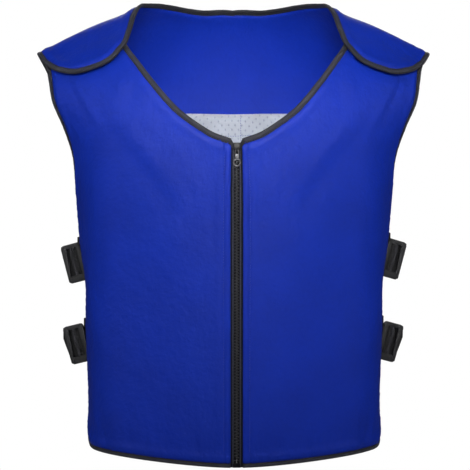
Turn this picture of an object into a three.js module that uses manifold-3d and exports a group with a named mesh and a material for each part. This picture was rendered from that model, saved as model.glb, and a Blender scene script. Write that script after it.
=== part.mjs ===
// A zip-fronted cooling vest, in millimetres, +Z up, front towards -Y, right-hand side of the picture towards +X.
//
// Each cloth piece is cut flat from its pattern and then draped over the worn shape.
// The flat pattern's coordinates are
//   across  millimetres from the centre line, measured so that the side edge is always at HALF_PATTERN,
//   run     millimetres along the cloth, 0 on top of the shoulder, negative down the front, positive down the back,
//   out     millimetres outwards from the worn shape.
// The origin lies between the shoulders, at the height where the vest sits on them.
import * as THREE from "three";
import { mergeVertices } from "three/addons/utils/BufferGeometryUtils.js";
import Module from "manifold-3d";

const wasm = await Module();
wasm.setup();

// Driving sizes
const BODY_LENGTH = 590; // hem to the highest point beside the neck
const SHOULDER_WIDTH = 510; // across both shoulder tips
const CHEST_DEPTH = 240; // front to back
const PANEL_THICKNESS = 2.4;
const BINDING_WIDTH = 8;
const BINDING_CLOTH = 0.8; // how far it stands proud of the panel on each side
const LINING_THICKNESS = 0.8;
const HEM_CORNER = { across: 64, up: 38 };
const SHOULDER_END_RADIUS = 34;
const SHOULDER_END_RUN = 14; // the front panels stop this far short of the top of the shoulder
const CLEARANCE = 0.35; // between pieces that touch
const JOIN = 0.01; // how deep a solid reaches into the one it is joined to
const FACETS = { across: 11, first: 13, growth: 2.4 }; // facets to the side edge, and the shoulder's first and how they grow

const ZIP = { gap: 13.4, tapeWidth: 15, tapeThickness: 0.9, teethWidth: 6.8, teethThickness: 3.2, teethSplit: 0.5 };
const SLIDER = { width: 9.6, length: 12.5, thickness: 5.6, belowTop: 3, corner: 2.4 };
const BAIL = { width: 2.6, length: 6.4, height: 3.6, aboveBottom: 2.6, lengthPlay: 0.75, heightPlay: 0.55 };
const PULL = { width: 5.4, length: 20.5, thickness: 1.5, ringRadius: 5.3, holeRadius: 3.2, eyeWidth: 3.4, eyePlay: 1.6 };
const BOX = { width: 9.4, length: 9, thickness: 5.4, corner: 1.6 };

const STRAP = { width: 38, thickness: 1.5, anchor: 30, clearsEdge: 7, backward: 21, rounding: 5 };
const BUCKLE = { length: 34, thickness: 3, bar: 5, rail: 4.2, corner: 3, hump: 2.6, endPlay: 0.3, slotPlay: 0.85 };
// Heights above the hem where the middle of each strap crosses the front and back edges, how far out it bends and how
// many degrees it droops
const STRAPS = [
  { name: "upper_left", side: -1, front: 254, back: 250, out: 36, droop: 11 },
  { name: "upper_right", side: 1, front: 259, back: 250, out: 38, droop: 14 },
  { name: "lower_left", side: -1, front: 148, back: 141, out: 39, droop: 11 },
  { name: "lower_right", side: 1, front: 150, back: 141, out: 42, droop: 14 },
];

const HALF_PATTERN = SHOULDER_WIDTH / 2;

// The worn shape. Each row is one line from the centre plane out to the side edge, going from the front hem over
// the shoulder to the back hem. Heights are shares of BODY_LENGTH above the hem, depths are shares of CHEST_DEPTH
// behind the shoulder line, reach is a share of half the shoulder width, turn is how far the cloth has turned at the
// side edge in degrees, and full is how far it bulges on its way there.
const SECTIONS = [
  { row: "hem front", midHeight: -0.004, sideHeight: 0.019, midDepth: -0.492, sideDepth: 0.017, reach: 0.748, turn: 100, full: 1.18 },
  { row: "low front", midHeight: 0.153, sideHeight: 0.153, midDepth: -0.497, sideDepth: 0.025, reach: 0.745, turn: 100, full: 1.18 },
  { row: "waist front", midHeight: 0.331, sideHeight: 0.331, midDepth: -0.5, sideDepth: 0.025, reach: 0.754, turn: 100, full: 1.18 },
  { row: "rib front", midHeight: 0.49, sideHeight: 0.488, midDepth: -0.504, sideDepth: 0.02, reach: 0.788, turn: 100, full: 1.16 },
  { row: "underarm front", midHeight: 0.602, sideHeight: 0.59, midDepth: -0.503, sideDepth: -0.01, reach: 0.806, turn: 96, full: 1.12 },
  { row: "armhole low", midHeight: 0.703, sideHeight: 0.66, midDepth: -0.492, sideDepth: -0.1, reach: 0.817, turn: 84, full: 1.0 },
  { row: "armhole middle", midHeight: 0.785, sideHeight: 0.722, midDepth: -0.46, sideDepth: -0.165, reach: 0.86, turn: 70, full: 0.88 },
  { row: "armhole high", midHeight: 0.858, sideHeight: 0.777, midDepth: -0.4, sideDepth: -0.17, reach: 0.915, turn: 56, full: 0.84 },
  { row: "chest top", midHeight: 0.928, sideHeight: 0.822, midDepth: -0.3, sideDepth: -0.142, reach: 0.936, turn: 42, full: 0.84 },
  { row: "shoulder front", midHeight: 0.996, sideHeight: 0.856, midDepth: -0.165, sideDepth: -0.07, reach: 0.956, turn: 24, full: 0.88 },
  { row: "shoulder top", midHeight: 1.0485, sideHeight: 0.881, midDepth: 0.0, sideDepth: 0.05, reach: 1.0, turn: 6, full: 0.95 },
  { row: "shoulder back", midHeight: 1.034, sideHeight: 0.848, midDepth: 0.18, sideDepth: 0.19, reach: 0.967, turn: -14, full: 0.92 },
  { row: "neck back", midHeight: 0.975, sideHeight: 0.79, midDepth: 0.325, sideDepth: 0.262, reach: 0.92, turn: -38, full: 0.86 },
  { row: "blade high", midHeight: 0.885, sideHeight: 0.728, midDepth: 0.42, sideDepth: 0.28, reach: 0.873, turn: -60, full: 0.9 },
  { row: "blade low", midHeight: 0.775, sideHeight: 0.664, midDepth: 0.475, sideDepth: 0.258, reach: 0.827, turn: -78, full: 0.96 },
  { row: "underarm back", midHeight: 0.645, sideHeight: 0.592, midDepth: 0.488, sideDepth: 0.217, reach: 0.8, turn: -90, full: 1.02 },
  { row: "rib back", midHeight: 0.492, sideHeight: 0.488, midDepth: 0.468, sideDepth: 0.196, reach: 0.775, turn: -97, full: 1.02 },
  { row: "waist back", midHeight: 0.331, sideHeight: 0.331, midDepth: 0.433, sideDepth: 0.188, reach: 0.745, turn: -98, full: 1.02 },
  { row: "low back", midHeight: 0.153, sideHeight: 0.153, midDepth: 0.418, sideDepth: 0.19, reach: 0.738, turn: -98, full: 1.02 },
  { row: "hem back", midHeight: -0.004, sideHeight: 0.016, midDepth: 0.425, sideDepth: 0.2, reach: 0.742, turn: -98, full: 1.02 },
];

// Broad dents and swells of the worn cloth: across is a share of the half pattern, height a share of BODY_LENGTH,
// side -1 is the front and 1 the back, rise is in millimetres, and wide and tall are the same shares as across and height.
const DENTS = [
  { side: -1, across: 0.82, height: 0.52, wide: 0.14, tall: 0.13, rise: -5 },
  { side: -1, across: 0.5, height: 0.62, wide: 0.22, tall: 0.16, rise: 3 },
  { side: -1, across: 0.62, height: 0.2, wide: 0.16, tall: 0.16, rise: 3 },
  { side: -1, across: 0.9, height: 0.1, wide: 0.1, tall: 0.12, rise: -3 },
  { side: 1, across: 0.5, height: 0.66, wide: 0.2, tall: 0.16, rise: 4 },
  { side: 1, across: 0.3, height: 0.3, wide: 0.12, tall: 0.22, rise: -3 },
];

// Edges seen from the front: reach is a share of half the shoulder width, height a share of BODY_LENGTH above the hem.
const NECKLINE = [
  { reach: 0.062, height: 0.7 },
  { reach: 0.118, height: 0.715 },
  { reach: 0.213, height: 0.741 },
  { reach: 0.286, height: 0.7655 },
  { reach: 0.342, height: 0.791 },
  { reach: 0.392, height: 0.817 },
  { reach: 0.438, height: 0.842 },
  { reach: 0.484, height: 0.869 },
  { reach: 0.53, height: 0.896 },
  { reach: 0.575, height: 0.925 },
];
const FLAP_NECK_EDGE = [
  { reach: 0.497, height: 0.962 },
  { reach: 0.514, height: 0.931 },
  { reach: 0.532, height: 0.903 },
  { reach: 0.563, height: 0.884 },
];
const FLAP_END = [
  { reach: 0.613, height: 0.86 },
  { reach: 0.69, height: 0.844 },
  { reach: 0.795, height: 0.833 },
  { reach: 0.89, height: 0.841 },
  { reach: 0.945, height: 0.856 },
  { reach: 0.98, height: 0.87 },
];
const NECK_POINT_REACH = 0.462; // beside the neck, on top of the shoulder
const BACK_NECKLINE = [
  { reach: 0, height: 0.986 },
  { reach: 0.13, height: 0.986 },
  { reach: 0.22, height: 0.989 },
  { reach: 0.3, height: 0.994 },
  { reach: 0.37, height: 0.9955 },
  { reach: 0.43, height: 0.9935 },
];
const LINING_TOP = { middle: 0.751, end: 0.742 }; // height of the lining's top edge at the centre and the sides

// How far the layers lie from the worn shape
const HALF_PANEL = PANEL_THICKNESS / 2;
const HALF_BINDING = HALF_PANEL + BINDING_CLOTH;
const LINING_OUT = -HALF_PANEL - CLEARANCE;
const FLAP_LIFT = 2 * HALF_BINDING + CLEARANCE;
const FLAP_LIFT_ENDS = 0.12; // share of BODY_LENGTH down the back where the lifted flap is back on the shape

const columns = (names) =>
  new THREE.CatmullRomCurve3(SECTIONS.map((r) => new THREE.Vector3(...names.map((n) => r[n]))), false, "catmullrom", 0.5);
const middleLine = columns(["midHeight", "midDepth", "turn"]);
const sideLine = columns(["sideHeight", "sideDepth", "reach"]);
const fullness = columns(["full", "full", "full"]);

// How the height falls from the middle to the side: level at the centre plane, then an even slope
function slope(share) {
  const round = 0.25;
  return (Math.hypot(share, round) - round) / (Math.hypot(1, round) - round);
}

// The point of the worn shape at a share of the way to the side edge, on a row of SECTIONS counted in whole and part rows.
function shapeAt(share, row) {
  const t = THREE.MathUtils.clamp(row / (SECTIONS.length - 1), 0, 1);
  const middle = middleLine.getPoint(t);
  const side = sideLine.getPoint(t);
  const turn = THREE.MathUtils.degToRad(middle.z);
  const sideX = (side.z * SHOULDER_WIDTH) / 2;
  const midY = middle.y * CHEST_DEPTH;
  const sideY = side.y * CHEST_DEPTH;
  const pull = fullness.getPoint(t).x * Math.hypot(sideX, sideY - midY);
  const s = Math.abs(share);
  const toSide = s * s * (3 - 2 * s);
  const leave = s * (1 - s) * (1 - s);
  const arrive = s * s * (s - 1);
  const x = leave * pull + toSide * sideX + arrive * pull * Math.cos(turn);
  const y = (1 - toSide) * midY + toSide * sideY + arrive * pull * Math.sin(turn);
  const z = middle.x + (side.x - middle.x) * slope(x / sideX);
  return new THREE.Vector3(Math.sign(share || 1) * x, y, z * BODY_LENGTH);
}

// Rows are spaced unevenly, so the run along the cloth is measured once on a line two thirds of the way to the side.
const STEPS_PER_ROW = 40;
const TOP_ROW = SECTIONS.findIndex((r) => r.row === "shoulder top");
const runs = [0];
for (let i = 1; i <= (SECTIONS.length - 1) * STEPS_PER_ROW; i++) {
  const step = shapeAt(0.66, i / STEPS_PER_ROW).distanceTo(shapeAt(0.66, (i - 1) / STEPS_PER_ROW));
  runs.push(runs[i - 1] + step);
}
const topRun = runs[TOP_ROW * STEPS_PER_ROW];
const FRONT_RUN = -topRun;
const BACK_RUN = runs[runs.length - 1] - topRun;

function rowOf(run) {
  const target = run + topRun;
  let low = 0;
  let high = runs.length - 1;
  while (high - low > 1) {
    const middle = (low + high) >> 1;
    if (runs[middle] > target) high = middle;
    else low = middle;
  }
  return (low + (target - runs[low]) / (runs[high] - runs[low])) / STEPS_PER_ROW;
}

const REST_HEIGHT = shapeAt(0.72, TOP_ROW).z - HALF_PANEL; // where the shoulders carry the vest

function plainPoint(across, run) {
  const past = Math.max(0, FRONT_RUN - run, run - BACK_RUN);
  const point = shapeAt(across / HALF_PATTERN, rowOf(THREE.MathUtils.clamp(run, FRONT_RUN, BACK_RUN)));
  point.z -= REST_HEIGHT + past;
  return point;
}

function dentAt(across, run, height) {
  const side = Math.sign(run);
  const fade = THREE.MathUtils.smoothstep(Math.abs(run), 60, 160);
  return DENTS.reduce((sum, d) => {
    const a = (Math.abs(across) / HALF_PATTERN - d.across) / d.wide;
    const h = (height / BODY_LENGTH - d.height) / d.tall;
    return d.side === side ? sum + d.rise * fade * Math.exp(-a * a - h * h) : sum;
  }, 0);
}

function outward(pointAt, across, run) {
  const reach = 0.5;
  const sideways = pointAt(across + reach, run).sub(pointAt(across - reach, run));
  const along = pointAt(across, run + reach).sub(pointAt(across, run - reach));
  return sideways.cross(along).normalize();
}

function shapePoint(across, run) {
  const point = plainPoint(across, run);
  const rise = dentAt(across, run, point.z + REST_HEIGHT);
  return rise ? point.addScaledVector(outward(plainPoint, across, run), rise) : point;
}

// The cloth is made of flat facets between these lines of the pattern, so that all its layers lie on each other.
const acrossLine = (i) => (i * HALF_PATTERN) / FACETS.across;
const runLine = (k) => k * (FACETS.first + FACETS.growth * Math.abs(k));
const acrossCell = (across) => Math.floor((across * FACETS.across) / HALF_PATTERN);
function runCell(run) {
  const { first, growth } = FACETS;
  const count = (Math.sqrt(first * first + 4 * growth * Math.abs(run)) - first) / (2 * growth);
  return Math.floor(Math.sign(run) * count + 1e-9);
}

const flapLift = (run) => FLAP_LIFT * (1 - THREE.MathUtils.smoothstep(run / BODY_LENGTH, 0, FLAP_LIFT_ENDS));
const flat = () => 0;
const corners = new Map();

function cornerOf(liftAt, i, k) {
  const key = `${liftAt.name} ${i} ${k}`;
  if (!corners.has(key)) {
    const point = shapePoint(acrossLine(i), runLine(k));
    const normal = outward(shapePoint, acrossLine(i), runLine(k));
    corners.set(key, { point: point.addScaledVector(normal, liftAt(runLine(k))), normal });
  }
  return corners.get(key);
}

// The flat pattern's point (across, run, out) on the facets of the worn shape
function drapeOn(liftAt, across, run, out) {
  const side = across < 0 ? -1 : 1;
  const i = acrossCell(Math.abs(across));
  const k = runCell(run);
  const u = (Math.abs(across) - acrossLine(i)) / (acrossLine(i + 1) - acrossLine(i));
  const v = (run - runLine(k)) / (runLine(k + 1) - runLine(k));
  const shares = [
    [cornerOf(liftAt, i, k), 1 - Math.max(u, v)],
    [cornerOf(liftAt, i + 1, k + 1), Math.min(u, v)],
    [u > v ? cornerOf(liftAt, i + 1, k) : cornerOf(liftAt, i, k + 1), Math.abs(u - v)],
  ];
  const sum = new THREE.Vector3();
  for (const [corner, share] of shares) {
    sum.addScaledVector(corner.point, share).addScaledVector(corner.normal, share * out);
  }
  return sum.setX(side * sum.x);
}
const drapeFront = (across, run, out) => drapeOn(flat, across, run, out);
const drapeBack = (across, run, out) => drapeOn(flapLift, across, run, out);

function solve(low, high, isBeyond) {
  for (let i = 0; i < 40; i++) {
    const middle = (low + high) / 2;
    if (isBeyond(middle)) high = middle;
    else low = middle;
  }
  return (low + high) / 2;
}

const acrossAt = (x, run) => solve(0, HALF_PATTERN, (across) => plainPoint(across, run).x > x);
const runAtHeight = (across, height, low, high) =>
  solve(low, high, (run) => (plainPoint(across, run).z + REST_HEIGHT > height) === high <= 0);

// The flat pattern's place of a point of the front, or of the back, that is given by its reach and height
function placeOf({ reach, height }, endRun) {
  const x = reach * HALF_PATTERN;
  const run = solve(endRun, 0, (r) => plainPoint(acrossAt(x, r), r).z + REST_HEIGHT > height * BODY_LENGTH);
  return new THREE.Vector2(acrossAt(x, run), run);
}
const onFrontAt = (point) => placeOf(point, FRONT_RUN);
const onBackAt = (point) => placeOf(point, BACK_RUN);

// Meshes and solids
function solidOf(geometry, place = (v) => v) {
  const bare = geometry.index ? geometry.toNonIndexed() : geometry.clone();
  for (const name of Object.keys(bare.attributes)) if (name !== "position") bare.deleteAttribute(name);
  const position = bare.attributes.position;
  const v = new THREE.Vector3();
  for (let i = 0; i < position.count; i++) {
    const placed = place(v.fromBufferAttribute(position, i));
    position.setXYZ(i, placed.x, placed.y, placed.z);
  }
  const merged = mergeVertices(bare, 1e-4);
  return new wasm.Manifold(
    new wasm.Mesh({
      numProp: 3,
      vertProperties: new Float32Array(merged.attributes.position.array),
      triVerts: new Uint32Array(merged.index.array),
    }),
  );
}

function withNormals(geometry, positions, index = null) {
  geometry.setAttribute("position", new THREE.Float32BufferAttribute(positions, 3));
  geometry.setIndex(index);
  geometry.computeVertexNormals();
  return geometry;
}

function geometryOf(solid) {
  const { vertProperties, triVerts } = solid.getMesh();
  return withNormals(new THREE.BufferGeometry(), vertProperties, new THREE.Uint32BufferAttribute(triVerts, 1));
}

// Cutting joins flat neighbours into one face, so the flat cloth is dished and twisted a little until it is draped.
const DISH = 5e-5;
const dishAt = (across, run) => DISH * (across * across + run * run + 0.6 * Math.abs(across) * run);

function gridBlock(acrossFrom, acrossTo, runFrom, runTo, outFrom, outTo) {
  const count = (from, to) => Array.from({ length: to - from + 1 }, (_, n) => from + n);
  const across = count(acrossCell(acrossFrom), Math.ceil((acrossTo * FACETS.across) / HALF_PATTERN)).map(acrossLine);
  const run = count(runCell(runFrom), runCell(runTo) + 1).map(runLine);
  const positions = [];
  const at = (i, k, out) => [across[i], run[k], out + dishAt(across[i], run[k])];
  const triangle = (a, b, c) => positions.push(...a, ...b, ...c);
  const square = (a, b, c, d) => {
    triangle(a, b, c);
    triangle(a, c, d);
  };
  const wall = (i, k, j, l) => square(at(i, k, outFrom), at(j, l, outFrom), at(j, l, outTo), at(i, k, outTo));
  for (let i = 0; i + 1 < across.length; i++) {
    for (let k = 0; k + 1 < run.length; k++) {
      const ring = [[i, k], [i + 1, k], [i + 1, k + 1], [i, k + 1]];
      const turned = across[i] < 0 ? [...ring.slice(1), ring[0]] : ring;
      square(...turned.map(([a, b]) => at(a, b, outTo)));
      square(...turned.map(([a, b]) => at(a, b, outFrom)).map((_, n, all) => all[(4 - n) % 4]));
    }
  }
  const lastAcross = across.length - 1;
  const lastRun = run.length - 1;
  for (let i = 0; i < lastAcross; i++) {
    wall(i, 0, i + 1, 0);
    wall(i + 1, lastRun, i, lastRun);
  }
  for (let k = 0; k < lastRun; k++) {
    wall(lastAcross, k, lastAcross, k + 1);
    wall(0, k + 1, 0, k);
  }
  const geometry = new THREE.BufferGeometry();
  return solidOf(geometry.setAttribute("position", new THREE.Float32BufferAttribute(positions, 3)));
}

function cutter(outline) {
  const deep = 60;
  const prism = new THREE.ExtrudeGeometry(new THREE.Shape(outline), { depth: 2 * deep, bevelEnabled: false });
  return solidOf(prism.translate(0, 0, -deep / 2));
}

// Cloth between two levels, cut to a flat outline, less what other outlines hold, and draped. The outer face of the
// cut cloth gives its inner face and its edge walls too, so that both keep to the facet lines.
function drapedCloth(drapeAt, outFrom, outTo, outline, ...holes) {
  const box = new THREE.Box2().setFromPoints(outline);
  const block = gridBlock(box.min.x, box.max.x, box.min.y, box.max.y, outFrom, outTo);
  const cloth = holes.reduce((left, hole) => left.subtract(cutter(hole)), block.intersect(cutter(outline)));
  const { vertProperties, triVerts } = cloth.getMesh();
  const place = (v) => vertProperties.subarray(3 * v, 3 * v + 3);
  const isOuter = (v) => {
    const [x, y, z] = place(v);
    return z - dishAt(x, y) > (outFrom + outTo) / 2;
  };
  const positions = [];
  const triangle = (...corners) => {
    for (const [v, out] of corners) positions.push(...drapeAt(...place(v).subarray(0, 2), out));
  };
  const rim = new Map();
  for (let i = 0; i < triVerts.length; i += 3) {
    const [a, b, c] = triVerts.subarray(i, i + 3);
    if (![a, b, c].every(isOuter)) continue;
    triangle([a, outTo], [b, outTo], [c, outTo]);
    triangle([c, outFrom], [b, outFrom], [a, outFrom]);
    for (const [from, to] of [[a, b], [b, c], [c, a]]) {
      if (!rim.delete(`${to} ${from}`)) rim.set(`${from} ${to}`, [from, to]);
    }
  }
  for (const [a, b] of rim.values()) {
    triangle([b, outTo], [a, outTo], [a, outFrom]);
    triangle([b, outTo], [a, outFrom], [b, outFrom]);
  }
  return withNormals(new THREE.BufferGeometry(), positions);
}

// The points of a path that its shape needs, to a small tolerance
function neededPoints(points, from = 0, to = points.length - 1) {
  const chord = points[to].clone().sub(points[from]);
  let worst = 0.3;
  let at = -1;
  for (let i = from + 1; i < to; i++) {
    const off = Math.abs(chord.cross(points[i].clone().sub(points[from]))) / chord.length();
    if (off > worst) [worst, at] = [off, i];
  }
  return at < 0 ? [from] : [...neededPoints(points, from, at), ...neededPoints(points, at, to)];
}

// An edge of the flat pattern, with the cloth on its left
function edgeOf(build) {
  const path = new THREE.Path();
  build(path);
  const points = path.getPoints(8).filter((p, i, all) => i === 0 || p.distanceTo(all[i - 1]) > 0.5);
  return { points, needed: [...neededPoints(points), points.length - 1] };
}

// The edge moved into the cloth by a distance measured on the worn shape
function inset({ points, needed }, distance) {
  return needed.map((i) => {
    const point = points[i];
    if (!distance) return point.clone();
    const before = points[Math.max(i - 1, 0)];
    const after = points[Math.min(i + 1, points.length - 1)];
    const sideways = shapePoint(point.x + 0.5, point.y).sub(shapePoint(point.x - 0.5, point.y));
    const along = shapePoint(point.x, point.y + 0.5).sub(shapePoint(point.x, point.y - 0.5));
    const heading = sideways.clone().multiplyScalar(after.x - before.x).addScaledVector(along, after.y - before.y);
    const left = sideways.clone().cross(along).cross(heading).setLength(distance);
    const [a, b, c] = [sideways.dot(sideways), sideways.dot(along), along.dot(along)];
    const [u, v] = [left.dot(sideways), left.dot(along)];
    return new THREE.Vector2(c * u - b * v, a * v - b * u).divideScalar(a * c - b * b).add(point);
  });
}

const mirrored = (points) => points.map((p) => new THREE.Vector2(-p.x, p.y)).reverse();

// Front panel: from the zip along the hem, up the side and armhole, round the shoulder end and down the neckline
const zipEdge = ZIP.gap / 2;
const frontNeck = NECKLINE.map(onFrontAt).reverse();
const zipTopRun = frontNeck[frontNeck.length - 1].y;
const zipAcross = acrossAt(zipEdge, zipTopRun);
frontNeck[frontNeck.length - 1].x = zipAcross;

const frontEdge = edgeOf((path) => {
  const top = -SHOULDER_END_RUN;
  const r = SHOULDER_END_RADIUS;
  const [neckEnd, next] = frontNeck;
  const lean = (neckEnd.x - next.x) / (neckEnd.y - next.y);
  const neckCorner = neckEnd.x + lean * (top - neckEnd.y);
  path.moveTo(zipAcross, FRONT_RUN);
  path.lineTo(HALF_PATTERN - HEM_CORNER.across, FRONT_RUN);
  path.quadraticCurveTo(HALF_PATTERN, FRONT_RUN, HALF_PATTERN, FRONT_RUN + HEM_CORNER.up);
  path.lineTo(HALF_PATTERN, top - r);
  path.quadraticCurveTo(HALF_PATTERN, top, HALF_PATTERN - r, top);
  path.lineTo(neckCorner + r, top);
  path.quadraticCurveTo(neckCorner, top, neckEnd.x, neckEnd.y);
  path.splineThru(frontNeck.slice(1));
});

// Back panel: from the middle of the neckline over the shoulder, round the flap, down the armhole and side to the hem
const flapNeck = FLAP_NECK_EDGE.map(onFrontAt);
const flapEnd = FLAP_END.map(onFrontAt);
const backNeck = BACK_NECKLINE.map(onBackAt);
const neckPoint = new THREE.Vector2(acrossAt(NECK_POINT_REACH * HALF_PATTERN, 0), 0);
const backEdge = edgeOf((path) => {
  const tip = flapEnd[flapEnd.length - 1];
  path.moveTo(0, backNeck[0].y);
  path.splineThru([...backNeck.slice(1), neckPoint, ...flapNeck, ...flapEnd]);
  path.quadraticCurveTo(HALF_PATTERN, tip.y + 2, HALF_PATTERN, tip.y + 12);
  path.lineTo(HALF_PATTERN, BACK_RUN - HEM_CORNER.up);
  path.quadraticCurveTo(HALF_PATTERN, BACK_RUN, HALF_PATTERN - HEM_CORNER.across, BACK_RUN);
  path.lineTo(0, BACK_RUN);
});

function frontOutline(distance) {
  const points = inset(frontEdge, distance);
  points[0].x = zipAcross;
  points[points.length - 1].x = zipAcross;
  return points;
}

function backOutline(distance) {
  const half = inset(backEdge, distance);
  half[0].x = 0;
  half[half.length - 1].x = 0;
  return [...half, ...mirrored(half).slice(1, -1)];
}

const PANEL_INSET = BINDING_WIDTH + CLEARANCE;
const frontPanel = () => drapedCloth(drapeFront, -HALF_PANEL, HALF_PANEL, frontOutline(PANEL_INSET));
const backPanel = () => drapedCloth(drapeBack, -HALF_PANEL, HALF_PANEL, backOutline(PANEL_INSET));
const backBinding = () =>
  drapedCloth(drapeBack, -HALF_BINDING, HALF_BINDING, backOutline(0), backOutline(BINDING_WIDTH));

function frontBinding() {
  const outline = [...frontOutline(0), ...frontOutline(BINDING_WIDTH).reverse()];
  return drapedCloth(drapeFront, -HALF_BINDING, HALF_BINDING, outline);
}

// The lining is the back panel's outline below its own arched top edge
function backLining() {
  const { middle, end } = LINING_TOP;
  const rim = [-1.1, -0.9, -0.45, 0, 0.45, 0.9, 1.1].map((share) => {
    const height = (middle + (end - middle) * share * share) * BODY_LENGTH;
    const across = share * HALF_PATTERN;
    return new THREE.Vector2(across, runAtHeight(Math.min(Math.abs(across), HALF_PATTERN), height, 0, BACK_RUN));
  });
  const above = [...new THREE.SplineCurve(rim).getPoints(18).reverse(), rim[0].clone().setY(-BODY_LENGTH)];
  above.push(rim[rim.length - 1].clone().setY(-BODY_LENGTH));
  return drapedCloth(drapeBack, LINING_OUT - LINING_THICKNESS, LINING_OUT, backOutline(PANEL_INSET), above);
}

// Zip: each half has its tape behind the panel's edge and its row of teeth in the gap
const zipBottomRun = FRONT_RUN;
const tapeOut = -HALF_BINDING - CLEARANCE;
const tapeInner = ZIP.teethSplit / 2;
const rectangle = (x0, x1, y0, y1) => [
  new THREE.Vector2(x0, y0),
  new THREE.Vector2(x1, y0),
  new THREE.Vector2(x1, y1),
  new THREE.Vector2(x0, y1),
];
const tapeOutline = rectangle(tapeInner, tapeInner + ZIP.tapeWidth, zipBottomRun, zipTopRun);
const zipTape = () => drapedCloth(drapeFront, tapeOut - ZIP.tapeThickness, tapeOut, tapeOutline);
const teethTop = tapeOut + CLEARANCE + ZIP.teethThickness;
const sliderRun = { high: zipTopRun - SLIDER.belowTop, low: zipTopRun - SLIDER.belowTop - SLIDER.length };
const teethOutline = rectangle(
  tapeInner,
  ZIP.teethWidth / 2,
  zipBottomRun + BOX.length + CLEARANCE,
  sliderRun.low - CLEARANCE,
);
const zipTeeth = () => drapedCloth(drapeFront, tapeOut + CLEARANCE, teethTop, teethOutline);

function roundedBar(width, length, thickness, corner) {
  const shape = new THREE.Shape();
  const x = width / 2;
  const y = length / 2;
  shape.moveTo(-x + corner, -y);
  shape.lineTo(x - corner, -y);
  shape.quadraticCurveTo(x, -y, x, -y + corner);
  shape.lineTo(x, y - corner);
  shape.quadraticCurveTo(x, y, x - corner, y);
  shape.lineTo(-x + corner, y);
  shape.quadraticCurveTo(-x, y, -x, y - corner);
  shape.lineTo(-x, -y + corner);
  shape.quadraticCurveTo(-x, -y, -x + corner, -y);
  const bar = new THREE.ExtrudeGeometry(shape, { depth: thickness, bevelEnabled: false, curveSegments: 3 });
  return bar.translate(0, 0, -thickness / 2);
}

// Axes on the worn cloth: x across, y up the cloth, z outwards
function frameAt(drapeAt, across, run, out) {
  const origin = drapeAt(across, run, out);
  const up = drapeAt(across, run + 1, out).sub(drapeAt(across, run - 1, out)).normalize();
  const side = drapeAt(across + 1, run, out).sub(drapeAt(across - 1, run, out));
  const normal = side.clone().cross(up).normalize();
  const matrix = new THREE.Matrix4().makeBasis(up.clone().cross(normal), up, normal);
  return matrix.setPosition(origin);
}

// The slider's bail is a small arch over the pull's eye bar, so that the pull can swing on it.
const pivotDrop = SLIDER.length / 2 - BAIL.aboveBottom;
const sliderBase = teethTop - ZIP.teethThickness + SLIDER.thickness;
const pivotAbove = PULL.thickness / 2 + BAIL.heightPlay;
const pivotOut = sliderBase + pivotAbove;

function zipSlider() {
  const { width, length, height, lengthPlay, heightPlay } = BAIL;
  const body = solidOf(roundedBar(SLIDER.width, SLIDER.length, SLIDER.thickness, SLIDER.corner));
  const archShape = new THREE.Shape();
  const half = length / 2;
  archShape.moveTo(-half, 0);
  archShape.lineTo(half, 0);
  archShape.lineTo(half, height * 0.62);
  archShape.quadraticCurveTo(half * 0.6, height, -half * 0.2, height);
  archShape.quadraticCurveTo(-half, height * 0.9, -half, height * 0.53);
  const hole = new THREE.Path();
  hole.absellipse(0, pivotAbove, PULL.thickness / 2 + lengthPlay, PULL.thickness / 2 + heightPlay, 0, 2 * Math.PI);
  archShape.holes.push(hole);
  const arch = new THREE.ExtrudeGeometry(archShape, { depth: width, bevelEnabled: false, curveSegments: 5 });
  arch.translate(0, 0, -width / 2);
  arch.applyMatrix4(
    new THREE.Matrix4().makeBasis(new THREE.Vector3(0, -1, 0), new THREE.Vector3(0, 0, 1), new THREE.Vector3(-1, 0, 0)),
  );
  arch.translate(0, -pivotDrop, SLIDER.thickness / 2 - JOIN);
  return geometryOf(body.add(solidOf(arch)));
}

function zipPull() {
  const { width, length, thickness, ringRadius, holeRadius, eyeWidth } = PULL;
  const eyeLength = BAIL.length / 2 + PULL.eyePlay;
  const outline = new THREE.Shape();
  const ringAt = -(length - ringRadius);
  outline.moveTo(-width / 2, thickness * 0.5);
  outline.lineTo(width / 2, thickness * 0.5);
  outline.lineTo(width / 2, ringAt + ringRadius * 0.75);
  outline.absarc(0, ringAt, ringRadius, 0.95, Math.PI - 0.95, true);
  outline.lineTo(-width / 2, thickness * 0.5);
  const eye = new THREE.Path();
  const inner = -thickness * 0.5;
  eye.moveTo(-eyeWidth / 2, inner);
  eye.lineTo(-eyeWidth / 2, inner - eyeLength);
  eye.lineTo(eyeWidth / 2, inner - eyeLength);
  eye.lineTo(eyeWidth / 2, inner);
  const ring = new THREE.Path();
  ring.absarc(0, ringAt, holeRadius, 0, 2 * Math.PI, false);
  outline.holes.push(eye, ring);
  const pull = new THREE.ExtrudeGeometry(outline, { depth: thickness, bevelEnabled: false, curveSegments: 14 });
  return pull.translate(0, 0, -thickness / 2);
}

// Straps: each webbing runs from inside the front panel's edge, out along its buckle to a bend, and back inside the
// back panel's edge. The stretch that holds the buckle is flat.
const strapOut = LINING_OUT - LINING_THICKNESS - CLEARANCE - STRAP.thickness / 2;

function roundedRoute(corners, reach) {
  const route = new THREE.CurvePath();
  let from = corners[0];
  corners.slice(1, -1).forEach((corner, i) => {
    const toward = (other) => corner.clone().lerp(other, Math.min(0.45, reach / corner.distanceTo(other)));
    const arrive = toward(corners[i]);
    const depart = toward(corners[i + 2]);
    route.add(new THREE.LineCurve3(from, arrive));
    route.add(new THREE.QuadraticBezierCurve3(arrive, corner, depart));
    from = depart;
  });
  route.add(new THREE.LineCurve3(from, corners[corners.length - 1]));
  return route;
}

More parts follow.
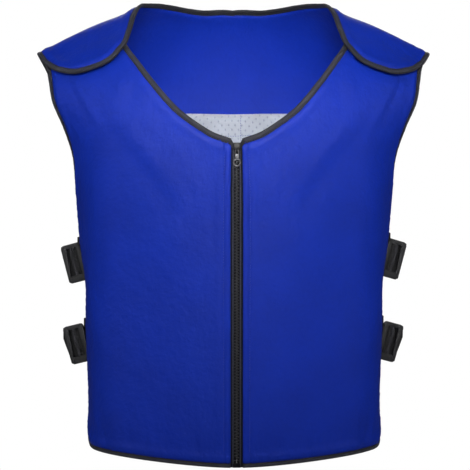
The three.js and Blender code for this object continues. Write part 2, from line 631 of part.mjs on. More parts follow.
// Points along the strap, at a distance above its middle line
function strapCorners(strap, above) {
  const frontRun = (height) => runAtHeight(HALF_PATTERN, height, FRONT_RUN, -BODY_LENGTH * 0.35);
  const backRun = runAtHeight(HALF_PATTERN, strap.back + above, BODY_LENGTH * 0.35, BACK_RUN);
  const onFront = (past) => drapeFront(HALF_PATTERN + past, frontRun(strap.front + above), strapOut);
  const onBack = (past) => drapeBack(HALF_PATTERN + past, backRun, strapOut);
  const middleLeaves = drapeFront(HALF_PATTERN + STRAP.clearsEdge, frontRun(strap.front), strapOut);
  const leaves = middleLeaves.clone().setZ(middleLeaves.z + above);
  const heading = new THREE.Vector3(strap.out, STRAP.backward, 0);
  const droop = THREE.MathUtils.degToRad(strap.droop);
  const legLength = heading.length();
  const along = heading.normalize().multiplyScalar(Math.cos(droop)).setZ(-Math.sin(droop));
  const sideways = new THREE.Vector3(along.y, -along.x, 0).normalize();
  const up = sideways.clone().cross(along);
  const bend = middleLeaves.clone().addScaledVector(along, legLength).addScaledVector(up, above);
  const facetLine = acrossLine(FACETS.across - 1) - HALF_PATTERN;
  const corners = [
    onFront(-STRAP.anchor),
    onFront(facetLine),
    onFront(0),
    leaves,
    bend,
    onBack(STRAP.clearsEdge),
    onBack(0),
    onBack(facetLine),
    onBack(-STRAP.anchor),
  ];
  const middle = middleLeaves.addScaledVector(along, legLength / 2 + STRAP.rounding / 2);
  return { corners, frame: new THREE.Matrix4().makeBasis(along, up, sideways).setPosition(middle) };
}

function strapBody(strap) {
  const facets = { along: 36, up: 2 };
  const routes = [-0.5, 0, 0.5].map((up) => roundedRoute(strapCorners(strap, up * STRAP.width).corners, STRAP.rounding));
  const toBuckle = strapCorners(strap, 0).frame.invert();
  const humpEnd = BUCKLE.length / 2 - BUCKLE.bar;
  const at = (t, row) => routes[row].getPoint(THREE.MathUtils.clamp(t, 0, 1));
  const place = (v) => {
    const t = v.x + 0.5;
    const row = Math.round((v.y + 0.5) * facets.up);
    const middle = at(t, row);
    const forward = at(t + 0.005, row).sub(at(t - 0.005, row));
    const upward = at(t, facets.up).sub(at(t, 0));
    const seen = middle.clone().applyMatrix4(toBuckle);
    const onBuckle = t < 0.6 && Math.abs(seen.x) < humpEnd;
    const hump = onBuckle ? BUCKLE.hump * Math.cos((Math.PI / 2) * (seen.x / humpEnd)) ** 2 : 0;
    return middle.addScaledVector(forward.cross(upward).normalize(), hump + v.z * STRAP.thickness);
  };
  const box = new THREE.BoxGeometry(1, 1, 1, facets.along, facets.up, 1);
  return geometryOf(solidOf(box, (v) => v.copy(place(v.clone()))));
}

function buckle(strap) {
  const { length, thickness, bar, rail, corner, hump, endPlay, slotPlay } = BUCKLE;
  const height = STRAP.width + 2 * (rail + endPlay);
  const outer = STRAP.thickness / 2 + slotPlay + thickness / 2;
  const inner = hump / 2 - STRAP.thickness / 2 - thickness / 2;
  const block = (x, y, z) => new THREE.BoxGeometry(x, y, z);
  const frame = solidOf(roundedBar(length, height, thickness, corner).translate(0, 0, outer));
  const window_ = solidOf(block(length - 2 * bar, height - 2 * rail, thickness * 2).translate(0, 0, outer));
  const middleBar = solidOf(block(bar, height - rail, thickness).translate(0, 0, inner));
  const post = (side) =>
    solidOf(
      block(bar, rail, outer - inner + thickness).translate(0, (side * (height - rail)) / 2, (outer + inner) / 2),
    );
  const whole = frame.subtract(window_).add(middleBar).add(post(1)).add(post(-1));
  return geometryOf(whole).applyMatrix4(strapCorners(strap, 0).frame);
}

// Colours and finishes
const material = (color, roughness, metalness = 0) => new THREE.MeshStandardMaterial({ color, roughness, metalness });
const BLUE_NYLON = material(0x2a3fb0, 0.55);
const BLACK_BINDING = material(0x1c1c24, 0.7);
const GREY_MESH = material(0xaab0c4, 0.85);
const BLACK_TAPE = material(0x1d1e26, 0.8);
const BLACK_MOULDED = material(0x141418, 0.4);
const BLACK_WEBBING = material(0x17171b, 0.85);
const GUNMETAL = material(0x6e7076, 0.35, 1);

const vest = new THREE.Group();

function add(name, geometry, finish) {
  const mesh = new THREE.Mesh(geometry, finish);
  mesh.name = name;
  vest.add(mesh);
  return mesh;
}

function mirror(geometry) {
  const other = geometry.clone().scale(-1, 1, 1);
  const index = other.index ? other.index.array : null;
  if (index) {
    for (let i = 0; i < index.length; i += 3) [index[i + 1], index[i + 2]] = [index[i + 2], index[i + 1]];
    return other;
  }
  const p = other.attributes.position.array;
  for (let i = 0; i < p.length; i += 9) {
    for (let k = 0; k < 3; k++) [p[i + 3 + k], p[i + 6 + k]] = [p[i + 6 + k], p[i + 3 + k]];
  }
  return other;
}

function addPair(name, geometry, finish) {
  add(name + "_right", geometry, finish);
  add(name + "_left", mirror(geometry), finish);
}

addPair("front_panel", frontPanel(), BLUE_NYLON);
addPair("front_binding", frontBinding(), BLACK_BINDING);
add("back_panel", backPanel(), BLUE_NYLON);
add("back_binding", backBinding(), BLACK_BINDING);
add("back_lining", backLining(), GREY_MESH);

addPair("zip_tape", zipTape(), BLACK_TAPE);
addPair("zip_teeth", zipTeeth(), BLACK_MOULDED);

const sliderOut = sliderBase - SLIDER.thickness / 2;
const sliderFrame = frameAt(drapeFront, 0, (sliderRun.high + sliderRun.low) / 2, sliderOut);
add("zip_slider", zipSlider().applyMatrix4(sliderFrame), GUNMETAL);
const pivot = new THREE.Matrix4().makeTranslation(0, -pivotDrop, pivotOut - sliderOut);
add("zip_pull", zipPull().applyMatrix4(pivot).applyMatrix4(sliderFrame), GUNMETAL);

const boxFrame = frameAt(drapeFront, 0, zipBottomRun + BOX.length / 2, tapeOut + CLEARANCE + BOX.thickness / 2);
add("zip_box", roundedBar(BOX.width, BOX.length, BOX.thickness, BOX.corner).applyMatrix4(boxFrame), GUNMETAL);

for (const strap of STRAPS) {
  const place = strap.side < 0 ? mirror : (geometry) => geometry;
  add(`strap_${strap.name}`, place(strapBody(strap)), BLACK_WEBBING);
  add(`buckle_${strap.name}`, place(buckle(strap)), BLACK_MOULDED);
}

export default vest;
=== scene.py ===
"""Builds the worn look of a padded, zip-fronted cooling vest around its measured frame.

Cloth is laid out in pattern coordinates, in millimetres: across from the centre line to the side edge,
run along the cloth from the top of the shoulder (negative down the front, positive down the back) and out
from the worn shape. The pattern is then draped over the worn shape, and only the finished meshes are in
metres.
"""

import math

import bmesh
import bpy
import numpy as np
from mathutils import Matrix, Vector
from mathutils.kdtree import KDTree


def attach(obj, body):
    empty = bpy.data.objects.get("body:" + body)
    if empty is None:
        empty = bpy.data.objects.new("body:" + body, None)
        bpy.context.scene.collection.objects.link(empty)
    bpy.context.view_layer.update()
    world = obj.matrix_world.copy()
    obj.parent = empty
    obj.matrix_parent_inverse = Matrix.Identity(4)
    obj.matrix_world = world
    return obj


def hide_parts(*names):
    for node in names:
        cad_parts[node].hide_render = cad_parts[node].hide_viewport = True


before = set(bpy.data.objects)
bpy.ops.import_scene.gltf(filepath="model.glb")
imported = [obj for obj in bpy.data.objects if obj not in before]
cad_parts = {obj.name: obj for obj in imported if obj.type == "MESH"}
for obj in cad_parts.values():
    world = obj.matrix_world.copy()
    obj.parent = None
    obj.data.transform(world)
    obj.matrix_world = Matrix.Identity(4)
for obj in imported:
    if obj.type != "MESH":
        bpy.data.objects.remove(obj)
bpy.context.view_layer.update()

bl_info = {
    "name": "Cooling Vest",
    "version": (1, 0, 0),
    "blender": (4, 5, 0),
    "location": "3D View > Sidebar > Vest",
    "description": "Makes a padded zip-fronted vest with bound edges, mesh lining and side straps",
    "category": "Add Mesh",
}

MM = 0.001

BODY_LENGTH = 590.0
SHOULDER_WIDTH = 510.0
CHEST_DEPTH = 240.0
HALF_PATTERN = SHOULDER_WIDTH / 2
PANEL_THICKNESS = 2.4
BINDING_WIDTH = 8.0
BINDING_CLOTH = 0.8
CLOTH_IN_BINDING = 4.0
TAPE_WIDTH = 6.6
TAPE_WIDER_AT_NECK = 0.9
TAPE_NARROWER_AT_HEM = 0.9
TAPE_ROW = 1.3
EDGE_SEAM_SHARE = 0.81
EDGE_SEAM_OUT = 1.3
TAPE_CROWN = 8 * TAPE_ROW
LINING_THICKNESS = 0.8
HEM_CORNER_ACROSS = 64.0
HEM_CORNER_UP = 38.0
SHOULDER_END_RADIUS = 34.0
SHOULDER_END_RUN = 14.0
CLEARANCE = 0.35
HALF_PANEL = PANEL_THICKNESS / 2
HALF_BINDING = HALF_PANEL + BINDING_CLOTH
LINING_OUT = -HALF_PANEL - CLEARANCE
FLAP_LIFT = 2 * HALF_BINDING + CLEARANCE
FLAP_LIFT_ENDS = 0.12
FLAP_DROOP_LIFT = 3.6
FLAP_DROOP_RUN = (30, 95)

# The padded cloth beside its bound edge: where the pinch starts, its level, and the swell behind it
PINCH_STARTS = -0.5
PINCHED_LEVEL = 0.6
PUFF_AT = 6
PUFF_WIDTH = 5.5
# The folded edge beside the zip and the seam that holds it
ZIP_FOLD_RADIUS = 1.6
ZIP_SEAM_BESIDE = 8.0

ZIP_GAP = 13.4
ZIP_CORD_AT = 4.4
ZIP_TAPE_BELOW_TOP = 4.6
ZIP_TAPE_END_ACROSS = 6.5
ZIP_TAPE_END_TURN = 30.0
ZIP_TAPE_END_SIZE = (4.8, 9.5, 1.6)
ZIP_TAPE_THICKNESS = 0.9
ZIP_TEETH_THICKNESS = 3.2
TAPE_OUT = -HALF_BINDING - CLEARANCE
SLIDER_LENGTH = 12.5
SLIDER_WIDTH = 9.6
SLIDER_THICKNESS = 5.6
SLIDER_BELOW_TOP = 3.0
SLIDER_SUNK = 0.42
BAIL_ABOVE_BOTTOM = 2.6
BAIL_PLAY = 0.55
BAIL_HALF_THICKNESS = 0.42
BAIL_HALF_WIDTH = 1.25
# The bail's arch seen from the side: places along the slider and heights over it, in millimetres
BAIL_ARCH = (
    (-3.0, -0.3),
    (-3.0, 1.6),
    (-2.4, 2.7),
    (-1.1, 3.2),
    (0.5, 3.2),
    (1.7, 2.8),
    (2.35, 1.9),
    (2.45, -0.3),
)
PULL_WIDTH = 5.4
PULL_LENGTH = 20.5
PULL_THICKNESS = 1.5
PULL_EYE_HALF = (2.15, 2.75)
PULL_EYE_BAR = 0.55
PULL_HOOP_RADIUS = 4.25
PULL_HOOP_BAR = 1.05
BOX_LENGTH = 9.0
BOX_WIDTH = 9.4
BOX_THICKNESS = 5.4

STRAP_WIDTH = 38.0
STRAP_THICKNESS = 1.5
STRAP_ANCHOR = 30.0
STRAP_CLEARS_EDGE = 7.0
STRAP_BACKWARD = 21.0
STRAP_ROUNDING = 5.0
LEAN_STARTS = 9.0
LEAN_LEAST = 0.6
LEAN_BELOW = 0.15
LEAN_ABOVE = 0.27
KEEPER_ABOVE = 3.6
KEEPER_OUT = 4.6
KEEPER_SIZE = (11.0, 12.0, 3.0)
BUCKLE_LENGTH = 34.0
BUCKLE_THICKNESS = 3.0
BUCKLE_BAR = 5.0
BUCKLE_RAIL = 4.2
BUCKLE_HUMP = 2.6
# The webbing's hump over the buckle's middle bar, and the points along a strap
HUMP_RISE = BUCKLE_HUMP + 2.2
HUMP_REACH = 4.4
STRAP_POINTS = 91
STRAP_BEND_POINT = 54
BUCKLE_HEIGHT = STRAP_WIDTH + 2 * (BUCKLE_RAIL + 0.3)
BUCKLE_FOOT = 3.6

# name, side, height on the front edge, height on the back edge, how far out it bends, degrees of droop
STRAPS = (
    ("upper_left", -1, 254, 250, 37, 14.5),
    ("upper_right", 1, 259, 250, 38, 15.5),
    ("lower_left", -1, 148, 141, 42, 14.5),
    ("lower_right", 1, 150, 141, 42, 15.5),
)

# The worn shape, front hem over the shoulder to back hem: height at the middle and the side as shares of the
# body length, depth at the middle and the side as shares of the chest depth, reach as a share of half the
# shoulder width, degrees the cloth has turned at its side edge, and how full it is on the way there
SECTIONS = (
    ("hem front", -0.004, 0.019, -0.492, 0.017, 0.748, 100, 1.18),
    ("low front", 0.153, 0.153, -0.497, 0.025, 0.745, 100, 1.18),
    ("waist front", 0.331, 0.331, -0.5, 0.025, 0.754, 100, 1.18),
    ("rib front", 0.49, 0.488, -0.504, 0.02, 0.788, 100, 1.16),
    ("underarm front", 0.602, 0.59, -0.503, -0.01, 0.806, 96, 1.12),
    ("armhole low", 0.703, 0.66, -0.492, -0.1, 0.817, 84, 1.0),
    ("armhole middle", 0.785, 0.722, -0.46, -0.165, 0.86, 70, 0.88),
    ("armhole high", 0.858, 0.777, -0.4, -0.17, 0.915, 56, 0.84),
    ("chest top", 0.928, 0.822, -0.3, -0.142, 0.936, 42, 0.84),
    ("shoulder front", 0.996, 0.856, -0.165, -0.07, 0.956, 24, 0.88),
    ("shoulder top", 1.0485, 0.881, 0.0, 0.05, 1.0, 6, 0.95),
    ("shoulder back", 1.034, 0.848, 0.18, 0.19, 0.967, -14, 0.92),
    ("neck back", 0.975, 0.79, 0.325, 0.262, 0.92, -38, 0.86),
    ("blade high", 0.885, 0.728, 0.42, 0.28, 0.873, -60, 0.9),
    ("blade low", 0.775, 0.664, 0.475, 0.258, 0.827, -78, 0.96),
    ("underarm back", 0.645, 0.592, 0.488, 0.217, 0.8, -90, 1.02),
    ("rib back", 0.492, 0.488, 0.468, 0.196, 0.775, -97, 1.02),
    ("waist back", 0.331, 0.331, 0.433, 0.188, 0.745, -98, 1.02),
    ("low back", 0.153, 0.153, 0.418, 0.19, 0.738, -98, 1.02),
    ("hem back", -0.004, 0.016, 0.425, 0.2, 0.742, -98, 1.02),
)

# Broad dents and swells: side, across, height, width, tallness as shares, and rise in millimetres
DENTS = (
    (-1, 0.82, 0.52, 0.14, 0.13, -5),
    (-1, 0.5, 0.62, 0.22, 0.16, 3),
    (-1, 0.62, 0.2, 0.16, 0.16, 3),
    (-1, 0.9, 0.1, 0.1, 0.12, -3),
    (1, 0.5, 0.66, 0.2, 0.16, 4),
    (1, 0.3, 0.3, 0.12, 0.22, -3),
    (-1, 0.35, -0.02, 0.75, 0.05, -2.5),
    (-1, 1.0, 0.38, 0.14, 0.06, -3.5),
)

LEFT_CREASE_SHIFT = 5.0
LEFT_CREASE_SHARE = 0.8
# Creases of the worn cloth: side, reach and height as shares, half length and half width in millimetres,
# degrees from level, and rise in millimetres
CREASES = (
    (-1, 0.79, 0.79, 26, 5, 62, -1.8),
    (-1, 0.74, 0.77, 30, 7, 55, 1.4),
    (-1, 0.5, 0.7, 60, 12, 48, 1.2),
    (-1, 0.44, 0.62, 66, 11, 52, -1.2),
    (-1, 0.3, 0.5, 54, 12, 100, 1.0),
    (-1, 0.68, 0.79, 20, 5, 75, -0.6),
    (-1, 0.58, 0.805, 16, 4.5, 95, 0.7),
    (-1, 0.51, 0.8, 18, 5, 110, -0.6),
    (-1, 0.74, 0.05, 22, 5, 76, 1.1),
    (-1, 0.66, 0.055, 22, 5, 80, -1.5),
    (-1, 0.6, 0.06, 20, 4.5, 97, 1.2),
    (-1, 0.53, 0.05, 16, 4, 88, -1.1),
    (-1, 0.42, 0.045, 16, 4, 84, 0.9),
    (-1, 0.35, 0.045, 16, 4, 94, -0.9),
    (-1, 0.27, 0.045, 16, 4, 97, 0.9),
    (-1, 0.2, 0.04, 14, 4, 86, -0.9),
    (-1, 0.7, 0.3, 42, 9, 78, 1.3),
    (-1, 0.68, 0.42, 38, 8, 100, -1.2),
    (-1, 0.1, 0.3, 50, 8, 90, 0.8),
    (-1, 0.12, 0.55, 44, 8, 86, -0.8),
    (-1, 0.84, 0.885, 15, 4, 72, -0.8),
    (-1, 0.9, 0.89, 14, 4, 60, 0.7),
    (1, 0.7, 0.72, 40, 9, 56, -2.0),
    (1, 0.6, 0.66, 44, 9, 50, 1.7),
    (1, 0.62, 0.55, 46, 9, 44, -1.8),
    (1, 0.5, 0.5, 54, 11, 62, 1.8),
    (1, 0.3, 0.44, 66, 12, 80, -1.8),
    (1, 0.08, 0.4, 80, 12, 92, 1.5),
    (1, 0.66, 0.28, 46, 10, 72, -1.8),
    (1, 0.48, 0.2, 40, 9, 84, 1.4),
    (1, 0.45, 0.06, 30, 7, 96, 1.1),
    (1, 0.2, 0.06, 28, 6, 84, -1.2),
)

# How far the cloth sinks over the shoulder's top: everywhere, halfway along it and at its end
SINK_ALL = 1.2
SINK_MIDDLE = 3.2
SINK_MIDDLE_REACH = 0.56
SINK_MIDDLE_WIDTH = 0.1
SINK_END = 1.3
SINK_END_REACH = (0.85, 0.97)
SINK_RUN = 80.0

# Outlines as seen from the front: reach and height, as shares of half the shoulder width and the body length
NECKLINE = (
    (0.062, 0.7),
    (0.118, 0.715),
    (0.213, 0.741),
    (0.286, 0.7655),
    (0.342, 0.791),
    (0.392, 0.817),
    (0.438, 0.842),
    (0.484, 0.869),
    (0.53, 0.896),
    (0.575, 0.925),
)
FLAP_NECK_EDGE = ((0.497, 0.962), (0.514, 0.931), (0.532, 0.903), (0.563, 0.884))
FLAP_END = ((0.613, 0.86), (0.69, 0.844), (0.795, 0.833), (0.89, 0.841), (0.945, 0.856), (0.98, 0.87))
NECK_POINT_REACH = 0.462
BACK_NECKLINE = ((0, 0.986), (0.13, 0.986), (0.22, 0.989), (0.3, 0.994), (0.37, 0.9955), (0.43, 0.9935))
LINING_MIDDLE = 0.751
LINING_END = 0.742
LINING_SEAM_BELOW = 20.4
LINING_SEAM_ACROSS = 14.0


TABLE = np.array([row[1:] for row in SECTIONS], float)
TOP_ROW = [row[0] for row in SECTIONS].index("shoulder top")


def smooth_between(x, low, high):
    t = np.clip((x - low) / (high - low), 0, 1)
    return t * t * (3 - 2 * t)


def length_along(points):
    """How far along a line each of its points lies."""
    return np.concatenate([[0.0], np.cumsum(np.linalg.norm(np.diff(points, axis=0), axis=1))])


def smooth_line(x0, x1, x2, x3, w):
    """The place at a share of the way from the second to the third of four, on a smooth line through them."""
    t0, t1 = (x2 - x0) / 2, (x3 - x1) / 2
    return x1 + w * (t0 + w * (3 * (x2 - x1) - 2 * t0 - t1 + w * (2 * (x1 - x2) + t0 + t1)))


def table_at(t):
    """The rows of the shape's table at shares of the way through it, on a smooth line through them."""
    last = len(TABLE) - 1
    p = np.clip(t, 0, 1) * last
    i = np.minimum(p.astype(int), last - 1)
    w = (p - i)[:, None]
    wide = np.vstack([2 * TABLE[0] - TABLE[1], TABLE, 2 * TABLE[-1] - TABLE[-2]])
    return smooth_line(wide[i], wide[i + 1], wide[i + 2], wide[i + 3], w)


def slope(share):
    bend = 0.25
    return (np.hypot(share, bend) - bend) / (math.hypot(1, bend) - bend)


def shape_at(share, row):
    mid_z, side_z, mid_y, side_y, reach, turn, full = table_at(row / (len(TABLE) - 1)).T
    turn = np.radians(turn)
    side_x = reach * HALF_PATTERN
    mid_y, side_y = mid_y * CHEST_DEPTH, side_y * CHEST_DEPTH
    pull = full * np.hypot(side_x, side_y - mid_y)
    s = np.abs(share)
    to_side = s * s * (3 - 2 * s)
    leave = s * (1 - s) ** 2
    arrive = s * s * (s - 1)
    x = leave * pull + to_side * side_x + arrive * pull * np.cos(turn)
    y = (1 - to_side) * mid_y + to_side * side_y + arrive * pull * np.sin(turn)
    z = mid_z + (side_z - mid_z) * slope(x / side_x)
    return np.stack([np.where(share < 0, -x, x), y, z * BODY_LENGTH], axis=-1)


STEPS_PER_ROW = 40
_rows = np.arange((len(TABLE) - 1) * STEPS_PER_ROW + 1) / STEPS_PER_ROW
_line = shape_at(np.full(len(_rows), 0.66), _rows)
RUNS = length_along(_line)
TOP_RUN = RUNS[TOP_ROW * STEPS_PER_ROW]
FRONT_RUN = -TOP_RUN
BACK_RUN = RUNS[-1] - TOP_RUN
REST_HEIGHT = shape_at(np.array([0.72]), np.array([float(TOP_ROW)]))[0, 2] - HALF_PANEL


def plain_point(across, run):
    across, run = np.broadcast_arrays(np.asarray(across, float), np.asarray(run, float))
    past = np.maximum(0, np.maximum(FRONT_RUN - run, run - BACK_RUN))
    row = np.interp(np.clip(run, FRONT_RUN, BACK_RUN) + TOP_RUN, RUNS, _rows)
    point = shape_at(across / HALF_PATTERN, row)
    point[..., 2] -= REST_HEIGHT + past
    return point


def outward(point_at, across, run, reach=0.5):
    sideways = point_at(across + reach, run) - point_at(across - reach, run)
    along = point_at(across, run + reach) - point_at(across, run - reach)
    normal = np.cross(sideways, along)
    return normal / np.linalg.norm(normal, axis=-1, keepdims=True)


def dent_rise(across, run, point):
    side = np.sign(run)
    fade = smooth_between(np.abs(run), 60, 160)
    height = (point[..., 2] + REST_HEIGHT) / BODY_LENGTH
    rise = np.zeros_like(height)
    for which, at, up, wide, tall, amount in DENTS:
        a = (np.abs(across) / HALF_PATTERN - at) / wide
        h = (height - up) / tall
        rise += np.where(side == which, amount * fade * np.exp(-a * a - h * h), 0)
    return rise


def settled(run, point):
    """How far the cloth has sunk over the shoulder, most of all halfway from the neck to its end."""
    reach = np.abs(point[..., 0]) / HALF_PATTERN
    middle = SINK_MIDDLE * np.exp(-(((reach - SINK_MIDDLE_REACH) / SINK_MIDDLE_WIDTH) ** 2))
    end = SINK_END * smooth_between(reach, *SINK_END_REACH)
    return (SINK_ALL + middle + end) * np.exp(-((run / SINK_RUN) ** 2))


def worn_point(across, run):
    across, run = np.broadcast_arrays(np.asarray(across, float), np.asarray(run, float))
    point = plain_point(across, run)
    sunk = settled(run, point)
    point = point + outward(plain_point, across, run) * dent_rise(across, run, point)[..., None]
    point[..., 2] -= sunk
    return point


def no_lift(run):
    return np.zeros_like(run)


def flap_lift(run):
    resting = FLAP_LIFT * (1 - smooth_between(run / BODY_LENGTH, 0, FLAP_LIFT_ENDS))
    return resting + FLAP_DROOP_LIFT * smooth_between(-run, *FLAP_DROOP_RUN)


def drape(across, run, out, lift=no_lift):
    """The pattern's points on the worn shape, in millimetres."""
    across, run, out = np.broadcast_arrays(*(np.asarray(v, float) for v in (across, run, out)))
    return worn_point(across, run) + outward(worn_point, across, run) * (out + lift(run))[..., None]


def drape_one(across, run, out, lift=no_lift):
    return drape(np.array([across]), np.array([run]), out, lift)[0]


def crease_rise(across, run):
    """Small folds, the same on both faces of a cloth."""
    point = plain_point(across, run)
    side = np.sign(run)
    rise = np.zeros(np.shape(run))
    for which, reach, up, long, wide, turned, amount in CREASES:
        angle = math.radians(turned)
        for mirrored in (1, -1):
            # the left half has the same folds, moved and weakened a little so that the two sides differ
            shift = 0.0 if mirrored == 1 else LEFT_CREASE_SHIFT
            dx = mirrored * point[..., 0] - reach * HALF_PATTERN - shift
            dz = point[..., 2] + REST_HEIGHT - up * BODY_LENGTH + shift
            u = (dx * math.cos(angle) + dz * math.sin(angle)) / long
            v = (-dx * math.sin(angle) + dz * math.cos(angle)) / wide
            share = 1.0 if mirrored == 1 else LEFT_CREASE_SHARE
            rise += np.where(side == which, share * amount * np.exp(-u * u - v * v), 0)
    return rise


def solve(low, high, is_beyond):
    low, high = np.array(low, float), np.array(high, float)
    for _ in range(34):
        middle = (low + high) / 2
        beyond = is_beyond(middle)
        high = np.where(beyond, middle, high)
        low = np.where(beyond, low, middle)
    return (low + high) / 2


def across_at(x, run):
    zero = np.zeros(np.shape(x))
    return solve(zero, zero + HALF_PATTERN, lambda a: plain_point(a, run)[..., 0] > x)


def run_at_height(across, height, low, high):
    def beyond(run):
        return (plain_point(across, run)[..., 2] + REST_HEIGHT > height) == (high <= 0)

    return solve(np.full(np.shape(across), float(low)), np.full(np.shape(across), float(high)), beyond)


def place_of(points, end_run):
    """The pattern's places of points that are given by reach and height as seen from the front."""
    points = np.array(points, float)
    x, height = points[:, 0] * HALF_PATTERN, points[:, 1] * BODY_LENGTH
    run = np.full(len(x), float(end_run))
    top = np.zeros(len(x))

    def above(r):
        return plain_point(across_at(x, r), r)[:, 2] + REST_HEIGHT > height

    run = solve(run, top, above)
    return np.stack([across_at(x, run), run], axis=-1)


def curve_through(points, steps=14):
    """A smooth line through points, without its first one."""
    p = np.array(points, float)
    wide = np.vstack([p[:1], p, p[-1:]])
    shares = (np.arange(steps) + 1) / steps
    return [smooth_line(*wide[i : i + 4], w) for i in range(len(p) - 1) for w in shares]


def bend_to(start, corner, end, steps=16):
    start, corner, end = (np.array(v, float) for v in (start, corner, end))
    shares = (np.arange(steps) + 1) / steps
    return [(1 - t) ** 2 * start + 2 * t * (1 - t) * corner + t * t * end for t in shares]


FRONT_NECK = place_of(NECKLINE, FRONT_RUN)[::-1]
ZIP_TOP_RUN = FRONT_NECK[-1, 1]
ZIP_ACROSS = float(across_at(np.array([ZIP_GAP / 2]), np.array([ZIP_TOP_RUN]))[0])
FRONT_NECK[-1, 0] = ZIP_ACROSS


def front_edge():
    top, r = -SHOULDER_END_RUN, SHOULDER_END_RADIUS
    neck_end, following = FRONT_NECK[0], FRONT_NECK[1]
    lean = (neck_end[0] - following[0]) / (neck_end[1] - following[1])
    corner = neck_end[0] + lean * (top - neck_end[1])
    path = [np.array([ZIP_ACROSS, FRONT_RUN])]
    hem_turn = (HALF_PATTERN - HEM_CORNER_ACROSS, FRONT_RUN)
    path.append(np.array(hem_turn))
    side_start = (HALF_PATTERN, FRONT_RUN + HEM_CORNER_UP)
    path += bend_to(hem_turn, (HALF_PATTERN, FRONT_RUN), side_start)
    path.append(np.array([HALF_PATTERN, top - r]))
    path += bend_to((HALF_PATTERN, top - r), (HALF_PATTERN, top), (HALF_PATTERN - r, top))
    path.append(np.array([corner + r, top]))
    path += bend_to((corner + r, top), (corner, top), neck_end)
    path += curve_through(FRONT_NECK)
    return np.array(path)


def back_edge():
    """Right half, from the middle of the neck over the shoulder and down to the middle of the hem."""
    neck = place_of(BACK_NECKLINE, BACK_RUN)
    neck_point = [float(across_at(np.array([NECK_POINT_REACH * HALF_PATTERN]), np.array([0.0]))[0]), 0.0]
    flap = np.vstack([place_of(FLAP_NECK_EDGE, FRONT_RUN), place_of(FLAP_END, FRONT_RUN)])
    tip = flap[-1]
    neck[0, 0] = 0.0
    path = [neck[0]]
    path += curve_through(np.vstack([neck, neck_point, flap]))
    path += bend_to(tip, (HALF_PATTERN, tip[1] + 2), (HALF_PATTERN, tip[1] + 12))
    side_end = (HALF_PATTERN, BACK_RUN - HEM_CORNER_UP)
    path.append(np.array(side_end))
    path += bend_to(side_end, (HALF_PATTERN, BACK_RUN), (HALF_PATTERN - HEM_CORNER_ACROSS, BACK_RUN))
    path.append(np.array([0.0, BACK_RUN]))
    return np.array(path)


def even_steps(path, lift, step, closed=False):
    """The path's points again, at even steps measured on the worn shape."""
    fine = []
    for a, b in zip(path[:-1], path[1:]):
        count = max(1, int(np.linalg.norm(b - a) / 1.0))
        fine += [a + (b - a) * k / count for k in range(count)]
    fine.append(path[-1])
    fine = np.array(fine)
    at = drape(fine[:, 0], fine[:, 1], 0, lift)
    length = length_along(at)
    count = max(8, int(round(length[-1] / step)))
    wanted = np.linspace(0, length[-1], count + 1)
    points = np.stack([np.interp(wanted, length, fine[:, i]) for i in (0, 1)], axis=-1)
    return points[:-1] if closed else points


def binding_width(across, run):
    """The folded tape shows widest round the neck and narrowest along the hem."""
    neck = smooth_between(170 - np.abs(across), 0, 50)
    hem = smooth_between(np.maximum(FRONT_RUN - run, run - BACK_RUN), -60, -15)
    return TAPE_WIDTH + TAPE_WIDER_AT_NECK * neck * (1 - hem) - TAPE_NARROWER_AT_HEM * hem


class Edge:
    """A pattern edge with the cloth on its left, its inward direction and its length so far."""

    def __init__(self, path, lift, step, closed=False):
        self.lift, self.closed = lift, closed
        self.points = even_steps(path, lift, step, closed)
        p = self.points
        if closed:
            before, after = np.roll(p, 1, axis=0), np.roll(p, -1, axis=0)
        else:
            before, after = np.vstack([p[:1], p[:-1]]), np.vstack([p[1:], p[-1:]])
        sideways = worn_point(p[:, 0] + 0.5, p[:, 1]) - worn_point(p[:, 0] - 0.5, p[:, 1])
        along = worn_point(p[:, 0], p[:, 1] + 0.5) - worn_point(p[:, 0], p[:, 1] - 0.5)
        turn = after - before
        heading = sideways * turn[:, :1] + along * turn[:, 1:]
        left = np.cross(np.cross(sideways, along), heading)
        left /= np.linalg.norm(left, axis=1, keepdims=True)
        a, b, c = ((sideways * sideways).sum(1), (sideways * along).sum(1), (along * along).sum(1))
        u, v = (left * sideways).sum(1), (left * along).sum(1)
        self.inward = np.stack([c * u - b * v, a * v - b * u], axis=-1) / (a * c - b * b)[:, None]
        self.left = left
        self.at = drape(p[:, 0], p[:, 1], 0, lift)
        self.width = binding_width(p[:, 0], p[:, 1])
        around = np.vstack([self.at, self.at[:1]]) if closed else self.at
        self.length = length_along(around)

    def inset(self, distance):
        return self.points + self.inward * np.asarray(distance)[..., None]

    def lay(self, inset, out):
        """Points beside the edge: inset into the cloth, out from it. Insets below 0 lie past the edge."""
        q = self.points + self.inward * np.maximum(inset, 0)[:, None]
        return drape(q[:, 0], q[:, 1], out, self.lift) + self.left * np.minimum(inset, 0)[:, None]


def inside(points, polygon):
    held = np.zeros(len(points), bool)
    x, y = points[:, 0], points[:, 1]
    for (x0, y0), (x1, y1) in zip(polygon, np.roll(polygon, -1, axis=0)):
        if y0 == y1:
            continue
        crosses = (y0 > y) != (y1 > y)
        held ^= crosses & (x < (x1 - x0) * (y - y0) / (y1 - y0) + x0)
    return held


def nearest(points, targets):
    """For each point, the index of the nearest target and how far away it is."""
    tree = KDTree(len(targets))
    for i, t in enumerate(targets):
        tree.insert(t if len(t) == 3 else (t[0], t[1], 0.0), i)
    tree.balance()
    found = [tree.find(p if len(p) == 3 else (p[0], p[1], 0.0)) for p in points]
    return np.array([f[1] for f in found]), np.array([f[2] for f in found])


# Lengths in millimetres and heights of the waves that make up an uneven gather
RIPPLE_WAVES = ((7.3, 0.5), (11.1, 0.35), (17.9, 0.3), (31.0, 0.25))


